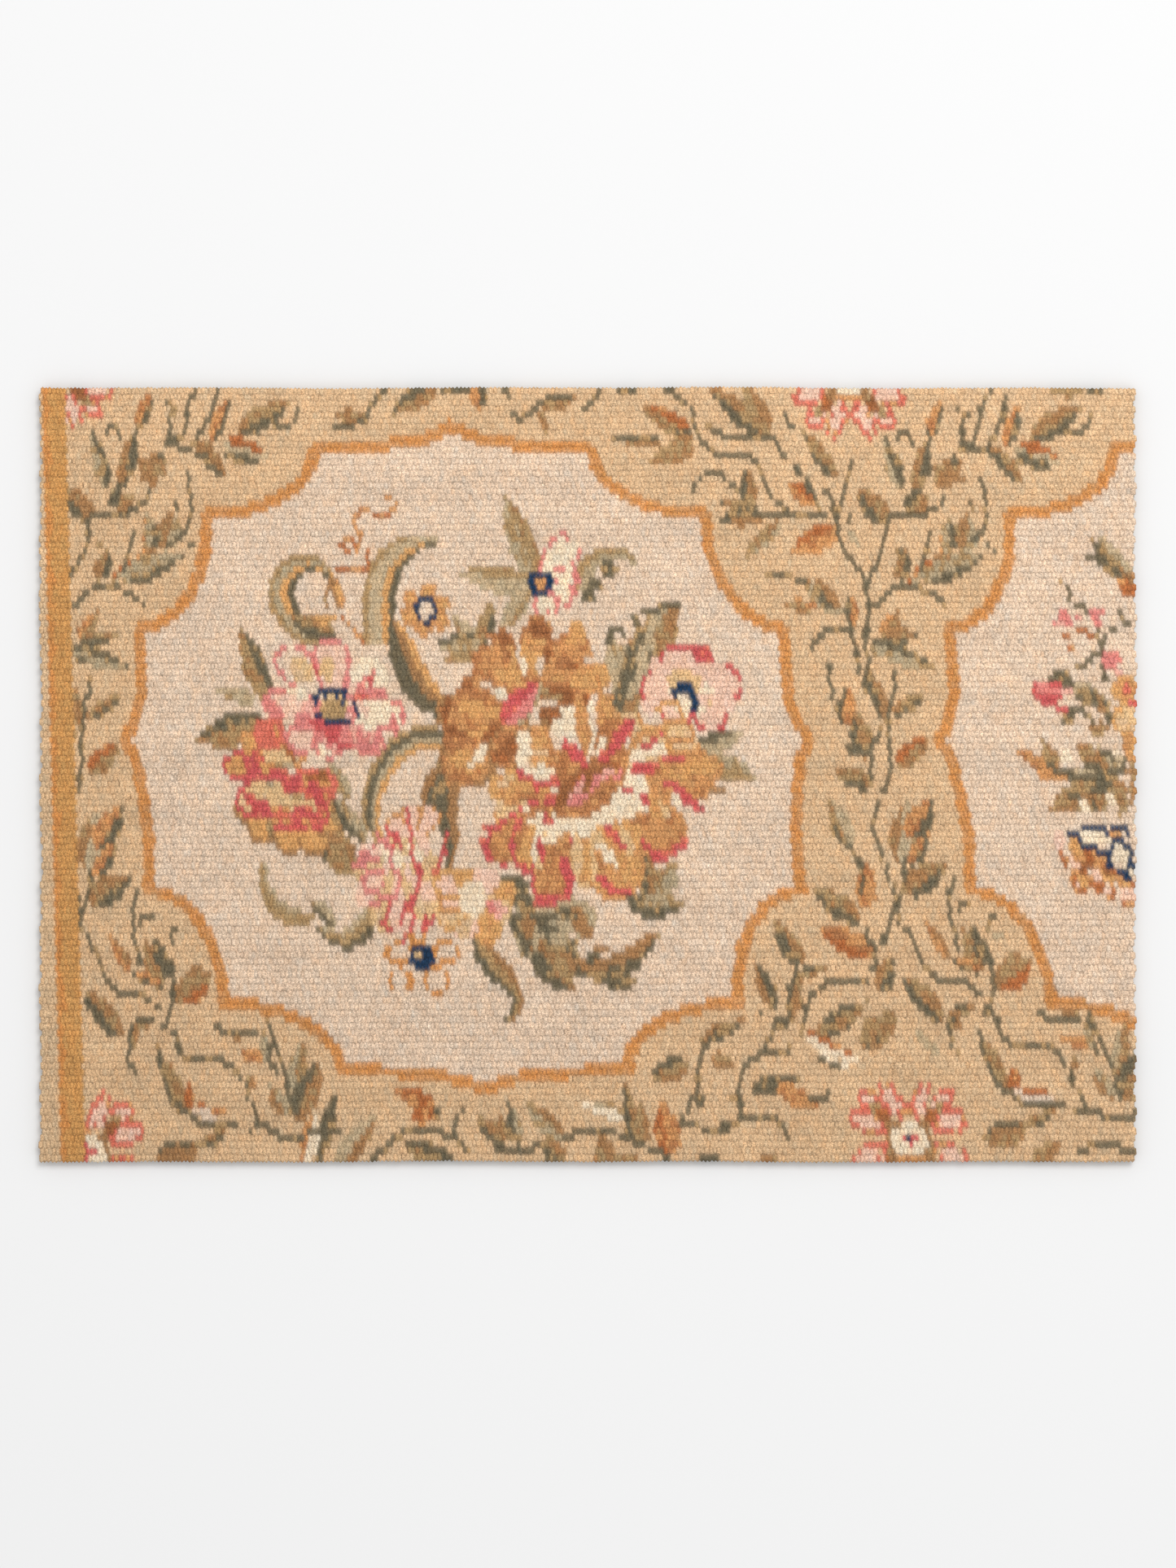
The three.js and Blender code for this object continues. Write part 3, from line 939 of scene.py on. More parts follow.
def knot_carnation(chart):
    """The striped carnation, in open strokes, and the small blooms beside it."""
    for angle in (150, 105, 60):
        chart.petal((-132, -48), angle, 2, 27, 19, AMBER, BLUSH, rim_width=2.6)
    for angle, end, yarn in (
        (172, 38, BLUSH), (200, 42, STRAW), (222, 50, BLUSH), (244, 58, STRAW), (266, 58, BLUSH),
        (288, 50, STRAW), (312, 40, BLUSH), (345, 24, STRAW), (60, 24, BLUSH), (100, 20, STRAW),
    ):
        chart.petal((-142, -66), angle, 3, end, 26, yarn, yarn)
    chart.strokes(CREAM, (-158, -52, -148, -72, 13), (-140, -52, -130, -66, 10))
    chart.stitches(
        ROSE, ((-166, -57), (-176, -61), (-181, -70)), ((-178, -64), (-163, -63)),
        ((-154, -60), (-153, -70), (-147, -80)),
        ((-168, -75), (-176, -80), (-174, -87), (-164, -89), (-160, -81)),
        ((-149, -82), (-152, -92), (-160, -96)), ((-160, -96), (-170, -98)), ((-176, -72), (-160, -74)),
        ((-164, -47), (-156, -52)), ((-160, -50), (-152, -58)),
    )
    chart.stitches(
        CRIMSON, ((-139, -27), (-138, -45), (-138, -66)), ((-157, -40), (-152, -48), (-150, -55)),
        ((-148, -43), (-146, -55)), ((-111, -46), (-113, -60), (-119, -70)), ((-121, -74), (-116, -84)),
        ((-134, -67), (-129, -78)), ((-136, -68), (-132, -81), (-138, -94), (-139, -107), (-140, -122)),
        ((-131, -74), (-135, -86), (-140, -98)), ((-142, -98), (-148, -113)),
        ((-154, -99), (-160, -108)), ((-164, -110), (-160, -116), (-154, -119)),
        ((-153, -129), (-143, -124)), ((-111, -85), (-113, -96), (-121, -107), (-132, -121)),
        ((-128, -106), (-133, -118)),
    )


def knot_cream_flower(chart):
    centre = (-93, -95)
    for angle, end, rim, fill in (
        (10, 34, GOLD, GOLD), (330, 30, STRAW, PINK), (292, 38, GOLD, GOLD), (250, 34, BLUSH, STRAW),
        (216, 34, GOLD, STRAW), (182, 26, AMBER, BLUSH), (148, 32, GOLD, BLUSH), (100, 24, GOLD, GOLD),
        (52, 28, BLUSH, BLUSH),
    ):
        chart.petal(centre, angle, 5, end, 24, rim, fill)
    chart.disc(centre, 11, CREAM, squash=1.3)
    chart.strokes(ROSE, (-84, -100, -74, -102, 5))


def knot_outlined_flower(chart):
    """The small open flower with a dark heart, its petals drawn as loops."""
    for u, v, radius, squash in (
        (-151, -137, 11, 0.8), (-115, -136, 11, 0.8), (-151, -158, 10, 1.0), (-123, -158, 11, 1.0),
        (-136, -125, 7, 0.9),
    ):
        chart.ring((u, v), radius, CARAMEL, IVORY, squash)
    chart.disc((-134, -141), 10, NAVY)
    chart.disc((-137, -138), 2.6, STRAW)


def knot_lower_leaves(chart):
    """The feathery leaves that hang below the bouquet."""
    chart.band([(-93, -120), (-83, -142), (-69, -160), (-63, -176), (-72, -192)], [6, 19, 19, 9, 7],
               [BROWN, OLIVE, MOSS])
    chart.lobe((-52, -90), (-52, -140), 27, SAGE, BROWN)
    chart.lobe((-50, -96), (0, -116), 32, SAGE, PALE_SAGE)
    chart.lobe((-46, -116), (-20, -150), 34, SAGE, PALE_SAGE)
    chart.strokes(
        BROWN, (-30, -106, -4, -108, 8), (-16, -108, -6, -126, 13), (-44, -126, -36, -138, 8),
        (-50, -100, -54, -136, 8),
    )
    chart.leaf((-44, -130), (-22, -168), -24, MOSS, BROWN)
    chart.strokes(OLIVE, (-34, -138, -22, -160, 7), (-58, -96, -46, -110, 7))
    chart.band([(-24, -150), (0, -149), (20, -143), (48, -120)], [12, 19, 16, 5], [BROWN, BROWN, OLIVE])
    chart.strokes(BROWN, (-4, -132, 12, -131, 5))
    chart.strokes(
        MOSS, (-74, -80, -48, -84, 9), (-62, -84, -50, -92, 10), (-64, -98, -46, -97, 9),
        (-66, -112, -60, -122, 7), (-64, -122, -52, -130, 6), (-50, -108, -36, -114, 7),
        (-34, -101, -20, -104, 5), (-44, -118, -28, -119, 6), (-42, -128, -34, -125, 6),
        (-22, -106, -14, -112, 6), (-24, -126, -16, -129, 6), (-24, -134, -14, -138, 6),
        (-12, -141, 2, -140, 6), (-20, -150, -10, -152, 6), (8, -148, 20, -154, 6),
        (18, -146, 34, -146, 7), (30, -142, 44, -128, 5), (-38, -162, -24, -165, 7),
        (0, -158, 28, -158, 13), (-58, -140, -52, -128, 5), (-66, -112, -56, -108, 6),
        (-38, -110, -30, -108, 6),
    )


def knot_bouquet(chart):
    knot_top_leaves(chart)
    knot_scroll_leaves(chart)
    knot_left_leaves(chart)
    knot_coral_rose(chart)
    knot_pink_flower(chart)
    knot_small_gold_flower(chart)
    knot_peony(chart)
    knot_serrated_leaf(chart)
    knot_peach_flower(chart)
    knot_right_leaves(chart)
    knot_carnation(chart)
    knot_lower_leaves(chart)
    knot_cream_flower(chart)
    knot_outlined_flower(chart)
    knot_lily(chart)


def knot_second_sprig(chart):
    """The upper sprig of the right-hand bouquet, with its buds."""
    chart.stitches(
        MOSS, [(372, 151), (375, 147)], [(379, 144), (381, 134)],
        [(385, 131), (393, 126), (399, 116), (401, 96), (401, 76)],
        [(402, 101), (408, 109), (417, 114)], [(425, 113), (421, 119), (418, 127)],
        [(399, 91), (392, 90), (388, 84), (379, 81)], [(398, 168), (402, 166), (406, 164)],
    )
    for base, tip, width, dark, light in (
        ((424, 148), (399, 184), -10, MOSS, MOSS), ((430, 152), (406, 185), 8, OLIVE, PALE_SAGE),
        ((420, 150), (445, 138), 14, BROWN, RUST), ((402, 38), (384, 32), 8, OLIVE, BROWN),
        ((396, 60), (402, 44), 10, OLIVE, BROWN), ((374, 64), (392, 68), 7, PALE_SAGE, SAGE),
    ):
        chart.leaf(base, tip, width, dark, light)
    chart.lobe((372, 64), (344, 66), 17, CRIMSON, ROSE)
    chart.strokes(
        ROSE, (372, 126, 380, 112, 10), (368, 114, 378, 122, 7), (398, 128, 400, 114, 8),
        (396, 120, 406, 128, 6), (406, 96, 408, 80, 10), (412, 94, 416, 84, 6),
    )
    chart.strokes(
        PINK, (366, 118, 374, 116, 6), (382, 122, 388, 120, 5), (366, 62, 376, 66, 6),
        (410, 78, 418, 74, 7),
    )
    chart.strokes(CRIMSON, (352, 57, 362, 54, 7), (360, 52, 374, 50, 7))
    chart.strokes(
        MOSS, (358, 73, 376, 76, 9), (368, 70, 380, 66, 6), (378, 60, 396, 55, 9),
        (366, 42, 378, 44, 7), (372, 50, 384, 48, 6), (384, 46, 392, 40, 6), (400, 46, 408, 40, 9),
        (398, 76, 406, 72, 8), (388, 62, 396, 66, 5), (400, 56, 404, 48, 5),
    )
    chart.strokes(
        RUST, (372, 103, 378, 108, 5), (382, 112, 392, 112, 5), (393, 108, 396, 103, 4),
        (374, 98, 380, 95, 5),
    )


def knot_second_leaves(chart):
    """The spread of leaves below it."""
    for base, tip, width, dark, light in (
        ((358, 4), (350, 28), 9, OLIVE, BROWN), ((402, 0), (374, 24), 15, OLIVE, BROWN),
        ((410, 4), (392, 22), 8, SAGE, PALE_SAGE), ((406, -4), (350, -26), 20, BROWN, OLIVE),
        ((404, -8), (384, -30), 11, OLIVE, BROWN), ((410, -6), (404, -34), 6, OLIVE, OLIVE),
        ((420, 0), (414, -24), 7, OLIVE, BROWN), ((446, 20), (410, 2), 12, BROWN, OLIVE),
        ((398, -2), (360, 4), 9, SAGE, PALE_SAGE),
    ):
        chart.leaf(base, tip, width, dark, light)
    chart.strokes(AMBER, (328, 18, 350, 10, 7), (338, 8, 372, -3, 9), (346, -2, 368, -4, 6))
    chart.strokes(
        CREAM, (362, 12, 372, 16, 8), (396, -14, 402, -24, 7), (372, -22, 382, -26, 6),
        (400, 14, 408, 20, 6),
    )
    chart.strokes(
        MOSS, (350, 9, 358, 6, 6), (356, 4, 374, 0, 6), (366, -3, 402, -3, 6), (382, -13, 402, -5, 8),
        (364, -14, 374, -18, 7), (392, 20, 404, 12, 6), (380, 9, 394, 8, 6), (386, 4, 394, 2, 5),
        (408, 8, 424, 16, 6), (396, 4, 412, 0, 5), (384, -20, 386, -28, 4),
    )


def knot_second_bouquet(chart):
    """What the cut leaves of the right-hand medallion's bouquet."""
    knot_second_sprig(chart)
    knot_second_leaves(chart)
    for angle, end, width, rim, fill in (
        (150, 44, 26, GOLD, GOLD), (192, 42, 28, GOLD, STRAW), (228, 48, 26, AMBER, GOLD),
        (110, 34, 22, GOLD, GOLD),
    ):
        chart.petal((446, 48), angle, 6, end, width, rim, fill)
    chart.leaves(
        (432, 66, 408, 70, 9, CORAL, CORAL), (440, 52, 416, 56, 9, CORAL, CRIMSON),
    )
    knot_boxed_flower(chart)


def knot_boxed_flower(chart):
    """The low flower of the right-hand bouquet: a ragged body below petals boxed in navy."""
    chart.strokes(
        BLUSH, (355, -45, 357, -57, 8), (361, -66, 374, -68, 10), (364, -87, 375, -88, 8),
        (380, -70, 382, -87, 8), (385, -89, 397, -91, 9), (396, -93, 416, -93, 13),
    )
    chart.strokes(
        GOLD, (366, -46, 370, -62, 9), (362, -62, 379, -62, 8), (364, -81, 379, -80, 9),
        (385, -80, 403, -80, 9), (395, -87, 408, -86, 5), (398, -75, 404, -76, 8),
    )
    chart.strokes(AMBER, (379, -59, 387, -71, 13), (384, -73, 399, -76, 10), (366, -72, 372, -76, 5))
    chart.strokes(
        RUST, (377, -55, 376, -72, 7), (364, -70, 363, -88, 4), (363, -91, 374, -91, 5),
        (374, -86, 381, -86, 5), (386, -79, 382, -92, 4), (386, -96, 396, -96, 6),
        (394, -88, 396, -94, 4), (400, -100, 414, -100, 6), (353, -58, 359, -58, 5),
        (359, -62, 360, -71, 5), (407, -86, 415, -86, 5), (399, -96, 401, -99, 4),
    )
    chart.strokes(
        UMBER, (371, -68, 380, -68, 6), (374, -70, 368, -78, 6), (388, -76, 397, -76, 6),
        (387, -97, 393, -97, 4),
    )
    chart.strokes(
        CREAM, (371, -45, 396, -46, 6), (372, -50, 398, -50, 6), (394, -60, 410, -60, 16),
        (402, -72, 414, -74, 14),
    )
    chart.disc((400, -46), 5, AMBER)
    chart.stitches(
        NAVY, ((375, -40), (392, -40)), ((397, -40), (407, -40)), ((363, -45), (372, -45)),
        ((391, -45), (394, -45)), ((408, -44), (408, -47)), ((370, -49), (371, -51)),
        ((397, -49), (396, -56)), ((401, -50), (406, -50)), ((374, -55), (384, -55)),
        ((384, -59), (396, -59)), ((405, -55), (410, -55)), ((393, -62), (392, -66)),
        ((389, -69), (396, -69)), ((409, -58), (409, -66)), ((407, -69), (415, -69)),
        ((398, -74), (403, -74)), ((413, -73), (412, -78)), ((406, -74), (406, -80)),
        ((403, -79), (406, -79)),
    )


def knot_pattern():
    chart = Chart()
    chart.strokes(
        PALE_SAGE, (213, 190, 222, 175, 6), (235, -195, 250, -215, 7), (300, -124, 310, -126, 6),
    )
    knot_vine(chart, VINE_STEMS, VINE_LEAVES)
    knot_vine(chart, EDGE_STEMS, EDGE_LEAVES)
    left = dict(shift=(-619, -5), stretch=1.035)
    knot_vine(chart, EDGE_STEMS, EDGE_LEAVES, **left)
    low = [s for s in VINE_STEMS if min(u for u, _ in s) > 200]
    low_leaves = [f for f in VINE_LEAVES if min(f[0], f[2]) > 215]
    knot_vine(chart, low, low_leaves, **left)
    for centre in ROSETTE_CENTRES:
        knot_rosette(chart, centre)
    for centre in MEDALLION_CENTRES:
        knot_medallion(chart, centre)
    knot_bouquet(chart)
    knot_second_bouquet(chart)
    knot_border(chart)
    return chart


# The cut cloth, in millimetres: its height, its foundation of warps and wefts, how its edges wander, and
# the soft hollows of its pile. A knot's middle stays off the edge by a share of its width.
RUG_HEIGHT = (CAD_HIGH.z - CAD_LOW.z) / MILLIMETRE
FOUNDATION_TOP = 2.6
FOUNDATION_INSET = 1.7
TUFT_ROOT = 2.2
EDGE_WANDER = 0.6
EDGE_WAVES = (5, 13)
EDGE_CLEARANCE = 0.42
PILE_HOLLOW = 0.4
HOLLOW_WAVES = ((4.1, 1.7), (-0.8, 3.3))

# A tuft's form, as shares of its own width and depth, and the fall from its crown in millimetres.
ROOT_SHARE = 0.9
SHOULDER_SHARE = 1.15
INTERLOCK = 0.13
SIDE_FALL = 0.23
TIP_FALL = 0.3

# How unevenly the tufts stand, in millimetres: in height, in lean and at each corner.
HEIGHT_SPREAD = 0.12
LEAN_SPREAD = 0.15
CORNER_SPREAD = 0.1

# How much a tuft's rim takes on the colour of the tufts that it touches, and the painted shade that
# darkens its colour from the crown down to the root, with a lighter crown for faded tips and painted
# light.
BLEED = 0.5
ROOT_PAINTED_SHADE = 0.55
RIM_PAINTED_SHADE = 0.97
CROWN_FADE_AND_PAINTED_LIGHT = 1.05

# How the dye varies, as shares of its brightness: from knot to knot, from row to row and in soft patches
# drawn out across the rug; painted light, from its level in the middle, growing from the near left to the
# far right; and how warm or cool a knot is.
KNOT_TONE = 0.05
ROW_TONE = 0.016
PATCH_TONE = 0.022
PATCH_STRETCH = 2.5
PAINTED_LIGHT_MIDDLE = 0.958
FAR_PAINTED_LIGHT = 0.055
RIGHT_PAINTED_LIGHT = 0.035
KNOT_WARMTH = 0.03

PILE_PIECES = 5

# The back of the cloth: its columns of knots, how deep the seams between them are and how far a knot may
# sink, in millimetres, the painted shade that darkens the seams, and how much cotton is mixed into them.
BACK_COLUMNS = 276
BACK_SEAM = 0.42
BACK_SINK = 0.08
BACK_SEAM_PAINTED_SHADE = 0.66
BACK_COTTON = 0.3
COTTON = (206, 190, 160)

# The cotton yarns of the ground, in millimetres: the wefts lie between the rows on the back, and the
# warps are cut off at the far and near edges, two for each knot.
WEFT_RADIUS = 0.42
WEFT_HEIGHT = 0.55
WEFT_WAVER = 0.05
WEFT_SPANS = 20
WARP_RADIUS = 0.5
WARP_HEIGHTS = (0.95, 1.85)
YARN_END = 0.8
SHORTEST_END = 0.55
YARN_SIDES = 6

# The pile's flat map: how far the root ring and the rim lie from the middle of a tuft's square, and where
# its underside lies and how large it is there.
MAP_ROOT = 0.48
MAP_RIM = 0.4
MAP_UNDERSIDE = 0.91
MAP_UNDERSIDE_SIZE = 0.08


def to_linear(shown):
    """A display colour from 0 to 255, as linear light."""
    share = np.asarray(shown, float) / 255
    return np.where(share <= 0.04045, share / 12.92, ((share + 0.055) / 1.055) ** 2.4)


def dyed(yarn):
    """The linear colour of each yarn given."""
    return to_linear(list(YARNS.values()))[yarn]


def edge_wander(along, side):
    """How far the hand-cut edge strays, for places from -1 to 1."""
    slow, quick = EDGE_WAVES
    return EDGE_WANDER / 2 * (np.sin(slow * along + side) + np.sin(quick * along - 2 * side))


def pile_height(x, y):
    """Hand clipping leaves soft hollows in the pile."""
    across, place = 2 * x / RUG_WIDTH, 2 * y / RUG_LENGTH
    first, second = (u * across + v * place for u, v in HOLLOW_WAVES)
    wave = np.sin(first) * np.cos(second)
    return RUG_HEIGHT - PILE_HOLLOW * (1 - wave) / 2


def soft_noise(x, y, rng, waves=24, size=70.0):
    """Slow, patchy change over the cloth, about -1 to 1."""
    total = np.zeros(np.shape(x))
    for _ in range(waves):
        turn, start = rng.uniform(0, 2 * np.pi, 2)
        reach = 2 * np.pi / (size * rng.uniform(0.6, 2.2))
        total += np.sin(reach * (x * np.cos(turn) + y * np.sin(turn)) + start)
    return total / math.sqrt(waves / 2)


def cut_place(x, along):
    """How far along the cut cloth a place of the pattern lies, since its edges wander."""
    place = 2 * along / RUG_LENGTH
    return place * (RUG_LENGTH / 2 - EDGE_WANDER + edge_wander(2 * x / RUG_WIDTH, place))


def cut_reach(along, side):
    """How far the cloth goes to its left or right edge there."""
    return RUG_WIDTH / 2 - EDGE_WANDER + edge_wander(2 * along / RUG_LENGTH, side)


# The two knots that each rim corner of a tuft touches: how many rows up, and whether to the right.
SIDES = {
    (0, 1): ((1, False), (1, True)),
    (0, -1): ((-1, False), (-1, True)),
    (1, 1): ((0, True), (1, True)),
    (1, -1): ((0, True), (-1, True)),
    (-1, 1): ((0, False), (1, False)),
    (-1, -1): ((0, False), (-1, False)),
}


def knots_of(chart):
    """The knots that the cut leaves: places, sizes and colours, dyed and with painted light, one row for
    each.
    """
    rng = np.random.default_rng(SEED)
    rows, columns = chart.yarn.shape
    shear = -(WARP_LEAN + LEAN_GROWTH * chart.across)
    x = chart.across + shear * chart.along
    y = cut_place(x, chart.along)
    edge_rows = row_place(np.arange(rows + 1))
    depth = np.repeat((edge_rows[:-1] - edge_rows[1:])[:, None], columns, axis=1)
    width = KNOT_WIDTH * (1 + 2 * WARP_GROWTH * chart.across / KNOT_WIDTH)
    place = 2 * chart.along / RUG_LENGTH
    colour = dyed(chart.yarn)
    gain = 1 + KNOT_TONE * rng.standard_normal(x.shape)
    gain *= (1 + ROW_TONE * rng.standard_normal(rows))[:, None]
    gain *= 1 + PATCH_TONE * soft_noise(x, y * PATCH_STRETCH, rng)
    # Painted light: the pile is made brighter towards the far end and towards the right.
    gain *= PAINTED_LIGHT_MIDDLE + FAR_PAINTED_LIGHT * place + RIGHT_PAINTED_LIGHT * 2 * x / RUG_WIDTH
    warmth = KNOT_WARMTH * rng.standard_normal(x.shape)
    colour = colour * gain[..., None] * (1 + warmth[..., None] * np.array([1, 0, -1]))
    kept = np.abs(x) < cut_reach(chart.along, np.sign(x)) - EDGE_CLEARANCE * width
    knots = {"x": x, "y": y, "width": width, "depth": depth, "shear": shear, "colour": colour}
    for side in SIDES:
        knots[side] = (touching(colour, *SIDES[side][0]) + touching(colour, *SIDES[side][1])) / 2
    return {name: values[kept] for name, values in knots.items()}


def touching(grid, up, right):
    """What the grid holds for the knot beside each knot, in its own row or in a neighbouring one."""
    rows, columns = grid.shape[:2]
    row = np.arange(rows)[:, None]
    step = np.where(row % 2 == 1, 1, 0) - (0 if right else 1) if up else (1 if right else -1)
    beside = np.clip(np.arange(columns) + step, 0, columns - 1)
    return grid[np.clip(row - up, 0, rows - 1), beside]


def tuft_shape():
    """One knot of pile: a six-sided lock that stands on its root ring, with a domed tip.
    Returns its corners, as shares of a knot, and its faces. Rings are told apart by their height."""
    tuft = bmesh.new()
    bmesh.ops.create_cone(tuft, cap_ends=True, segments=6, radius1=0.5, radius2=0.5, depth=1)
    bmesh.ops.translate(tuft, vec=(0, 0, 0.5), verts=tuft.verts)
    points = [v for v in tuft.verts if abs(v.co.x) < 0.1]
    corners = [v for v in tuft.verts if abs(v.co.x) > 0.1]
    bmesh.ops.scale(tuft, vec=(1, 1 + 2 * INTERLOCK, 1), verts=points)
    half_width = math.cos(math.radians(30)) / 2
    bmesh.ops.scale(tuft, vec=(0.5 / half_width, (0.5 - INTERLOCK) / 0.25, 1), verts=corners)
    tip = [face for face in tuft.faces if face.calc_center_median().z > 0.9]
    bmesh.ops.poke(tuft, faces=tip, offset=1)
    tuft.verts.index_update()
    places = np.array([v.co for v in tuft.verts])
    faces = [[v.index for v in face.verts] for face in tuft.faces]
    tuft.free()
    return places, faces


def mesh_object(name, places, corner_of, face_start, material):
    """A mesh piece from arrays, in millimetres."""
    mesh = bpy.data.meshes.new(name)
    mesh.vertices.add(len(places))
    mesh.vertices.foreach_set("co", (places * MILLIMETRE).ravel())
    mesh.loops.add(len(corner_of))
    mesh.loops.foreach_set("vertex_index", corner_of)
    mesh.polygons.add(len(face_start))
    mesh.polygons.foreach_set("loop_start", face_start)
    mesh.update(calc_edges=True)
    mesh.shade_smooth()
    mesh.materials.append(material)
    piece = bpy.data.objects.new(name, mesh)
    bpy.context.scene.collection.objects.link(piece)
    return piece


def stamp(shape_faces, corners, count):
    """The corner list and face starts of many copies of one shape."""
    flat = np.concatenate([np.array(face) for face in shape_faces])
    sizes = np.array([len(face) for face in shape_faces])
    starts = np.concatenate([[0], np.cumsum(sizes)[:-1]])
    copy = np.arange(count)[:, None]
    return (flat + corners * copy).ravel(), (starts + len(flat) * copy).ravel()


def pile_piece(name, knots, material, rng):
    """Stamps a tuft on each of the knots given."""
    shape, faces = tuft_shape()
    count, corners = len(knots["x"]), len(shape)
    at_root = shape[:, 2] < 0.5
    at_crown = shape[:, 2] > 1.5
    at_side = ~at_root & ~at_crown & (np.abs(shape[:, 0]) > 0.1)
    share = np.where(at_root, ROOT_SHARE, SHOULDER_SHARE)
    fall = np.where(at_crown, 0, np.where(at_side, SIDE_FALL, TIP_FALL))
    top = pile_height(knots["x"], knots["y"]) + HEIGHT_SPREAD * rng.standard_normal(count).clip(-2, 2)
    lean = LEAN_SPREAD * rng.standard_normal((2, count, 1)) * ~at_root
    out = shape[:, 1] * share * knots["depth"][:, None]
    x = knots["x"][:, None] + shape[:, 0] * share * knots["width"][:, None]
    x = x + knots["shear"][:, None] * out + lean[0]
    y = knots["y"][:, None] + out + lean[1]
    rough = rng.standard_normal((3, count, corners)) * ~at_root
    z = np.where(at_root, TUFT_ROOT, top[:, None] - fall + CORNER_SPREAD * rough[2])
    places = np.stack([x + CORNER_SPREAD * rough[0], y + CORNER_SPREAD * rough[1], z], -1).reshape(-1, 3)
    piece = mesh_object(name, places, *stamp(faces, corners, count), material)
    colour = np.repeat(knots["colour"][:, None, :], corners, axis=1)
    for at, (across, along, _) in enumerate(shape):
        if not at_crown[at]:
            side = (round(2 * across), round(np.sign(along)))
            colour[:, at] = (1 - BLEED) * colour[:, at] + BLEED * knots[side]
    # Painted shade: darkest at the root ring, deep in the pile; the crown a little lighter, for faded
    # tips and painted light.
    shade = np.where(at_root, ROOT_PAINTED_SHADE, np.where(at_crown, CROWN_FADE_AND_PAINTED_LIGHT, RIM_PAINTED_SHADE))
    dye_with_painted_shade(piece, (colour * shade[:, None]).reshape(-1, 3))
    lay_flat(piece, tuft_map(shape, faces), count)
    return piece


def tuft_map(shape, faces):
    """Where each face corner of a tuft lies in its own square of the flat map: the crown in the middle,
    the root ring outermost, and the underside small and apart."""
    turn = np.arctan2(shape[:, 1], shape[:, 0])
    ring = np.stack([np.cos(turn), np.sin(turn)], -1)
    reach = np.select([shape[:, 2] < 0.5, shape[:, 2] > 1.5], [MAP_ROOT, 0.0], MAP_RIM)
    spread = 0.5 + reach[:, None] * ring
    underside = MAP_UNDERSIDE + MAP_UNDERSIDE_SIZE * ring
    return np.vstack([(underside if shape[face, 2].max() < 0.5 else spread)[face] for face in faces])


def lay_flat(piece, cell, count):
    """Gives a piece of pile its flat map: a square for each tuft, side by side."""
    across = math.ceil(math.sqrt(count))
    tuft = np.arange(count)
    corner = np.stack([tuft % across, tuft // across], -1)
    flat = (corner[:, None, :] + cell) / across
    piece.data.uv_layers.new(name="OFBake").uv.foreach_set("vector", flat.ravel())


def make_pile(knots, material):
    """The pile, in pieces that each take an equal share of the knots, row after row."""
    rng = np.random.default_rng(SEED + 1)
    pieces = []
    for at, part in enumerate(np.array_split(np.arange(len(knots["x"])), PILE_PIECES)):
        own = {name: values[part] for name, values in knots.items()}
        pieces.append(pile_piece(f"pile_{at + 1}", own, material, rng))
    return pieces


def back_knots(chart):
    """The grid of seams on the back, and the middles of its knots with their colours."""
    along = row_place(np.arange(KNOT_ROWS + 1.0))[:, None] * (1 - 2 * FOUNDATION_INSET / RUG_LENGTH)
    left, right = (cut_reach(along, side) - FOUNDATION_INSET for side in (-1, 1))
    x = -left + (left + right) * np.arange(BACK_COLUMNS + 1) / BACK_COLUMNS
    y = cut_place(x, along)
    row = np.arange(KNOT_ROWS)[:, None]
    middle_x = (x[:-1, :-1] + x[1:, 1:]) / 2 + stagger(row) / 2 * KNOT_WIDTH
    middle_y = (y[:-1, :-1] + y[1:, 1:]) / 2
    across = (middle_x + WARP_LEAN * middle_y) / (1 - LEAN_GROWTH * middle_y)
    column = np.rint(column_at(across) - stagger(row)).astype(int) - FIRST_COLUMN
    yarn = chart.yarn[row, column.clip(0, chart.yarn.shape[1] - 1)]
    return x, y, middle_x, middle_y, dyed(yarn)


def back_faces(corner, middle, loop, top):
    """The foundation's faces: the knots of the back, the cut sides, and the hidden top in long strips."""
    rows, columns = middle.shape
    near_left, near_right = corner[1:, :-1], corner[1:, 1:]
    far_right, far_left = corner[:-1, 1:], corner[:-1, :-1]
    ring = (near_left, near_right, far_right, far_left, near_left)
    faces = [np.stack([b, a, middle], -1).reshape(-1, 3) for a, b in zip(ring, ring[1:])]
    faces.append(np.stack([loop, np.roll(loop, -1), np.roll(top, -1), top], -1))
    far = columns + rows
    left = far + columns
    left_side = top[(left + np.arange(rows, -1, -1)) % loop.size]
    right_side = top[columns:far + 1]
    faces.append(np.stack([left_side[1:-2], right_side[1:-2], right_side[2:-1], left_side[2:-1]], -1))
    faces.append(np.append(top[:columns + 2], left_side[1])[None, :])
    faces.append(top[far - 1:left + 2][None, :])
    return faces


def seam_colours(colour):
    """The colour of each crossing of the back's seams, from the knots that meet there, darkened by
    painted shade.
    """
    wide = np.pad(colour, ((1, 1), (1, 1), (0, 0)), mode="edge")
    meeting = (wide[:-1, :-1] + wide[1:, :-1] + wide[:-1, 1:] + wide[1:, 1:]) / 4
    return BACK_SEAM_PAINTED_SHADE * ((1 - BACK_COTTON) * meeting + BACK_COTTON * to_linear(COTTON))


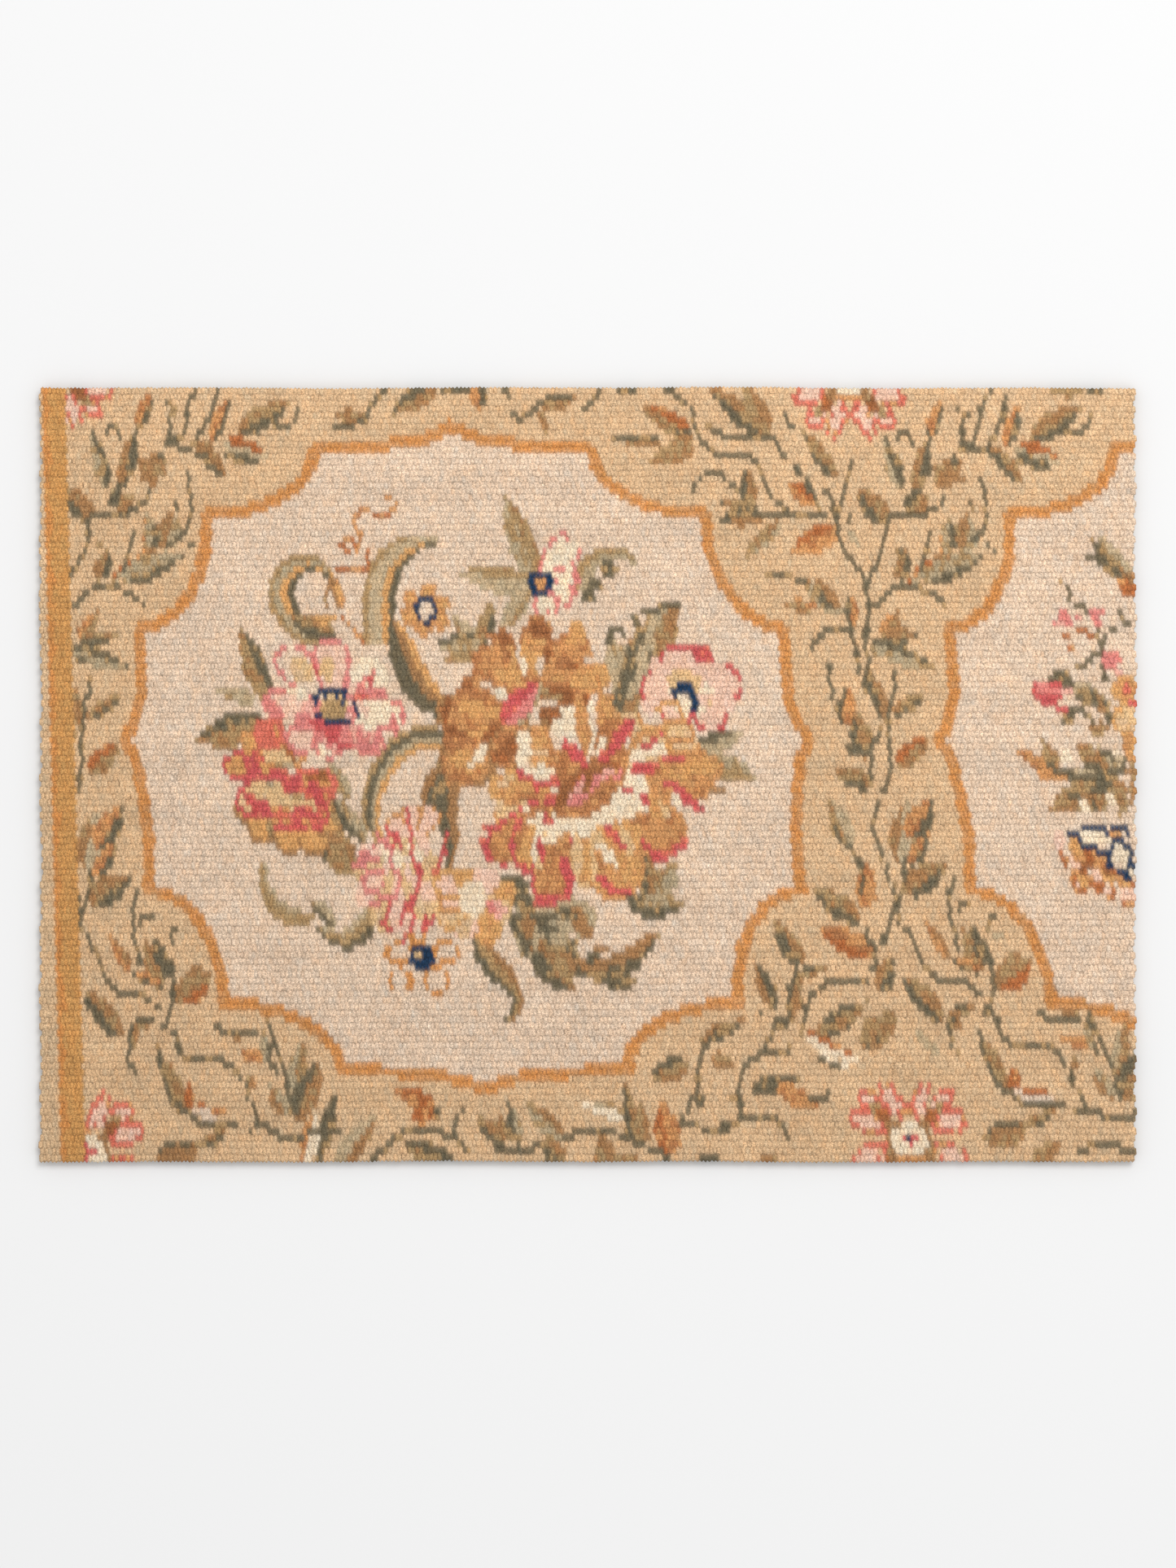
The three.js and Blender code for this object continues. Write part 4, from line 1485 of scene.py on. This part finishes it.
def make_foundation(chart, material):
    """The woven ground that the knots are tied on. Its underside is the backs of the knots."""
    x, y, middle_x, middle_y, colour = back_knots(chart)
    rng = np.random.default_rng(SEED + 2)
    corner = np.arange(x.size).reshape(x.shape)
    middle = x.size + np.arange(middle_x.size).reshape(middle_x.shape)
    loop = np.concatenate([corner[-1, :-1], corner[:0:-1, -1], corner[0, :0:-1], corner[:-1, 0]])
    top = x.size + middle_x.size + np.arange(loop.size)
    low = np.stack([x, y, np.full(x.shape, BACK_SEAM)], -1).reshape(-1, 3)
    knots = np.stack([middle_x, middle_y, BACK_SINK * rng.random(middle_x.shape)], -1).reshape(-1, 3)
    high = low[loop] + (0, 0, FOUNDATION_TOP - BACK_SEAM)
    faces = back_faces(corner, middle, loop, top)
    corner_of = np.concatenate([group.ravel() for group in faces])
    sizes = np.concatenate([np.full(len(group), group.shape[1]) for group in faces])
    places = np.vstack([low, knots, high])
    piece = mesh_object("foundation", places, corner_of, np.cumsum(sizes) - sizes, material)
    seams = seam_colours(colour).reshape(-1, 3)
    hidden = np.tile(to_linear(COTTON), (len(high), 1))
    dye_with_painted_shade(piece, np.vstack([seams, colour.reshape(-1, 3), hidden]))
    return piece


def dye_with_painted_shade(piece, rgb):
    """Gives each corner of a piece's mesh its colour: its yarn's dye with painted shade and light."""
    yarn = piece.data.color_attributes.new("yarn", "FLOAT_COLOR", "POINT")
    yarn.data.foreach_set("color", np.column_stack([rgb.clip(0, 1), np.ones(len(rgb))]).ravel())


def make_yarns(name, paths, ahead, radius, material):
    """Round yarns along paths that all run ahead."""
    turn = 2 * np.pi * np.arange(YARN_SIDES) / YARN_SIDES
    up = np.array([0.0, 0.0, 1.0])
    flat = np.cross(up, ahead)
    ring = radius * (np.cos(turn)[:, None] * flat + np.sin(turn)[:, None] * up)
    places = paths[:, :, None, :] + ring
    at = np.arange(places.size // 3).reshape(places.shape[:3])
    beside = np.roll(at, -1, axis=2)
    sides = np.stack([at[:, :-1], beside[:, :-1], beside[:, 1:], at[:, 1:]], -1).reshape(-1, 4)
    caps = np.concatenate([at[:, 0, ::-1], at[:, -1]])
    corner_of = np.concatenate([sides.ravel(), caps.ravel()])
    sizes = np.concatenate([np.full(len(sides), 4), np.full(len(caps), YARN_SIDES)])
    return mesh_object(name, places.reshape(-1, 3), corner_of, np.cumsum(sizes) - sizes, material)


def make_wefts(material):
    """The cotton wefts, which show as thin lines between the rows of the back, and their cut ends."""
    along = row_place(np.arange(1.0, KNOT_ROWS))[:, None] * (1 - 2 * FOUNDATION_INSET / RUG_LENGTH)
    left, right = (cut_reach(along, side) - FOUNDATION_INSET + YARN_END for side in (-1, 1))
    x = -left + (left + right) * np.arange(WEFT_SPANS + 1) / WEFT_SPANS
    wave = WEFT_WAVER * np.random.default_rng(SEED + 3).standard_normal(x.shape)
    paths = np.stack([x, cut_place(x, along), WEFT_HEIGHT + wave], -1)
    return make_yarns("wefts", paths, (1.0, 0.0, 0.0), WEFT_RADIUS, material)


def make_warp_ends(name, side, material):
    """The cut ends of the cotton warps at the far or near edge, two for each column of knots."""
    rng = np.random.default_rng(SEED + 4 + side)
    warp = np.arange(2 * BACK_COLUMNS)
    reach = RUG_WIDTH / 2 - EDGE_WANDER - FOUNDATION_INSET - KNOT_WIDTH / 4
    x = reach * (2 * warp / (len(warp) - 1) - 1)
    edge = cut_place(x, side * (RUG_LENGTH / 2 - FOUNDATION_INSET))
    z = np.where(warp % 2, *WARP_HEIGHTS)
    start = np.stack([x, edge - side * YARN_END, z], -1)
    end = np.stack([x, edge + side * YARN_END * rng.uniform(SHORTEST_END, 1, x.shape), z], -1)
    return make_yarns(name, np.stack([start, end], 1), (0.0, float(side), 0.0), WARP_RADIUS, material)


def new_material(name):
    material = bpy.data.materials.new(name)
    material.use_nodes = True
    return material, material.node_tree.nodes, material.node_tree.links


def map_range(nodes, links, value, given, made):
    node = nodes.new("ShaderNodeMapRange")
    node.inputs["From Min"].default_value, node.inputs["From Max"].default_value = given
    node.inputs["To Min"].default_value, node.inputs["To Max"].default_value = made
    links.new(value, node.inputs["Value"])
    return node.outputs["Result"]


def scaled(nodes, links, colour, shade):
    node = nodes.new("ShaderNodeVectorMath")
    node.operation = "SCALE"
    links.new(colour, node.inputs[0])
    links.new(shade, node.inputs["Scale"])
    return node.outputs["Vector"]


def bumped(nodes, links, height, strength, distance):
    bump = nodes.new("ShaderNodeBump")
    bump.inputs["Strength"].default_value = strength
    bump.inputs["Distance"].default_value = distance
    links.new(height, bump.inputs["Height"])
    links.new(bump.outputs["Normal"], nodes["Principled BSDF"].inputs["Normal"])


def fibre_noise(nodes, links, where, scale):
    fibre = nodes.new("ShaderNodeTexNoise")
    fibre.inputs["Scale"].default_value = scale
    fibre.inputs["Detail"].default_value = 3
    fibre.inputs["Roughness"].default_value = 0.7
    links.new(where, fibre.inputs["Vector"])
    return fibre.outputs["Fac"]


def wool(name, ends_scale, fibre_scale):
    """Wool in the colour each knot carries, with the ends of its yarns, fine fibres and a faint sheen;
    painted shade darkens the edges of the yarn ends and the sunken fibres, and painted light brightens
    their raised parts.
    """
    material, nodes, links = new_material(name)
    shader = nodes["Principled BSDF"]
    shader.inputs["Roughness"].default_value = 0.9
    shader.inputs["Specular IOR Level"].default_value = 0.1
    shader.inputs["Sheen Weight"].default_value = 0.06
    shader.inputs["Sheen Roughness"].default_value = 0.5
    # The colour attribute carries each knot's dye with its painted shade and light.
    yarn = nodes.new("ShaderNodeAttribute")
    yarn.attribute_name = "yarn"
    where = nodes.new("ShaderNodeTexCoord").outputs["Object"]
    ends = nodes.new("ShaderNodeTexVoronoi")
    ends.inputs["Scale"].default_value = ends_scale
    links.new(where, ends.inputs["Vector"])
    fibre = fibre_noise(nodes, links, where, fibre_scale)
    own = nodes.new("ShaderNodeSeparateColor")
    links.new(ends.outputs["Color"], own.inputs["Color"])
    tone = map_range(nodes, links, own.outputs["Red"], (0, 1), (0.8, 1.22))
    # Painted shade at the edges of each yarn end, where its bump sinks, and painted light at its middle.
    rim = map_range(nodes, links, ends.outputs["Distance"], (0.25, 0.75), (1.1, 0.84))
    # Painted light and shade on the fibres: lighter where the bump rises, darker where it sinks.
    grain = map_range(nodes, links, fibre, (0.36, 0.64), (0.6, 1.46))
    colour = yarn.outputs["Color"]
    for shade in (tone, rim, grain):
        colour = scaled(nodes, links, colour, shade)
    links.new(colour, shader.inputs["Base Color"])
    lift = nodes.new("ShaderNodeMath")
    lift.operation = "MULTIPLY_ADD"
    lift.inputs[1].default_value = -1.0
    links.new(ends.outputs["Distance"], lift.inputs[0])
    links.new(fibre, lift.inputs[2])
    bumped(nodes, links, lift.outputs["Value"], 0.6, 0.0004)
    return material


def cotton():
    """Undyed cotton yarn, with its twist and fibres, and painted shade in the low grooves of the twist.
    """
    material, nodes, links = new_material("cotton")
    shader = nodes["Principled BSDF"]
    shader.inputs["Roughness"].default_value = 0.95
    shader.inputs["Specular IOR Level"].default_value = 0.1
    where = nodes.new("ShaderNodeTexCoord").outputs["Object"]
    fibre = fibre_noise(nodes, links, where, 1800)
    twist = nodes.new("ShaderNodeTexWave")
    twist.bands_direction = "DIAGONAL"
    twist.inputs["Scale"].default_value = 260
    twist.inputs["Distortion"].default_value = 1.5
    links.new(where, twist.inputs["Vector"])
    plain = nodes.new("ShaderNodeRGB")
    plain.outputs["Color"].default_value = (*to_linear(COTTON), 1)
    colour = plain.outputs["Color"]
    # The twist is darker where its bump sinks: painted shade in its grooves.
    for shade in (map_range(nodes, links, fibre, (0.36, 0.64), (0.82, 1.12)),
                  map_range(nodes, links, twist.outputs["Fac"], (0, 1), (0.84, 1.04))):
        colour = scaled(nodes, links, colour, shade)
    links.new(colour, shader.inputs["Base Color"])
    bumped(nodes, links, twist.outputs["Fac"], 0.5, 0.0002)
    return material


# The studio floor, in metres, and its light: how bright the surroundings are, and where the key light
# stands, how wide it is and its power in watts.
FLOOR_REACH = 6
FLOOR_DROP = 0.0003
SURROUNDINGS = 0.85
KEY_PLACE = (1.1, 2.2, 4.2)
KEY_SIZE = 2.6
KEY_POWER = 108


def floor_material():
    material, nodes, links = new_material("pale_floor")
    shader = nodes["Principled BSDF"]
    shader.inputs["Base Color"].default_value = (0.76, 0.76, 0.76, 1)
    shader.inputs["Roughness"].default_value = 0.9
    shader.inputs["Specular IOR Level"].default_value = 0.1
    return material


def make_floor():
    floor = bmesh.new()
    bmesh.ops.create_grid(floor, x_segments=1, y_segments=1, size=FLOOR_REACH)
    bmesh.ops.translate(floor, vec=(0, 0, -FLOOR_DROP), verts=floor.verts)
    mesh = bpy.data.meshes.new("floor")
    floor.to_mesh(mesh)
    floor.free()
    mesh.materials.append(floor_material())
    piece = bpy.data.objects.new("floor", mesh)
    bpy.context.scene.collection.objects.link(piece)


# The photograph's height and the row that the cloth's middle lies on, in pixels, with a pixel's size in
# millimetres; and the camera's lens and sensor, in millimetres.
PHOTO_HEIGHT = 1927
CLOTH_MIDDLE_ROW = 952
PIXEL = 0.6222
LENS = 100
SENSOR = 36


def make_camera():
    """Straight above the cloth, as the photograph was taken."""
    data = bpy.data.cameras.new("camera")
    data.lens = LENS
    data.sensor_width = SENSOR
    camera = bpy.data.objects.new("camera", data)
    bpy.context.scene.collection.objects.link(camera)
    reach = PHOTO_HEIGHT * PIXEL * LENS / SENSOR
    down = PIXEL * (PHOTO_HEIGHT / 2 - CLOTH_MIDDLE_ROW)
    camera.location = (0, -down * MILLIMETRE, (reach + RUG_HEIGHT) * MILLIMETRE)
    bpy.context.scene.camera = camera


def area_light(name, place, size, power):
    data = bpy.data.lights.new(name, "AREA")
    data.shape = "DISK"
    data.size = size
    data.energy = power
    light = bpy.data.objects.new(name, data)
    light.location = place
    aim = -light.location
    light.rotation_euler = aim.to_track_quat("-Z", "Y").to_euler()
    light.visible_camera = False
    bpy.context.scene.collection.objects.link(light)


def light_scene():
    """Soft, even studio light, a little stronger from the far right."""
    world = bpy.data.worlds.new("studio")
    world.use_nodes = True
    background = world.node_tree.nodes["Background"]
    background.inputs["Color"].default_value = (1, 1, 1, 1)
    background.inputs["Strength"].default_value = SURROUNDINGS
    bpy.context.scene.world = world
    area_light("key", KEY_PLACE, KEY_SIZE, KEY_POWER)
    bpy.context.scene.view_settings.view_transform = "Standard"


chart = knot_pattern()
pile = make_pile(knots_of(chart), wool("wool_pile", 1100, 2000))
foundation = make_foundation(chart, wool("knot_backs", 620, 2600))
cotton_yarn = cotton()
yarns = [
    make_wefts(cotton_yarn),
    make_warp_ends("far_warps", 1, cotton_yarn),
    make_warp_ends("near_warps", -1, cotton_yarn),
]
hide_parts("knotted_rug")
for piece in [foundation, *yarns, *pile]:
    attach(piece, "root")
make_floor()
make_camera()
light_scene()
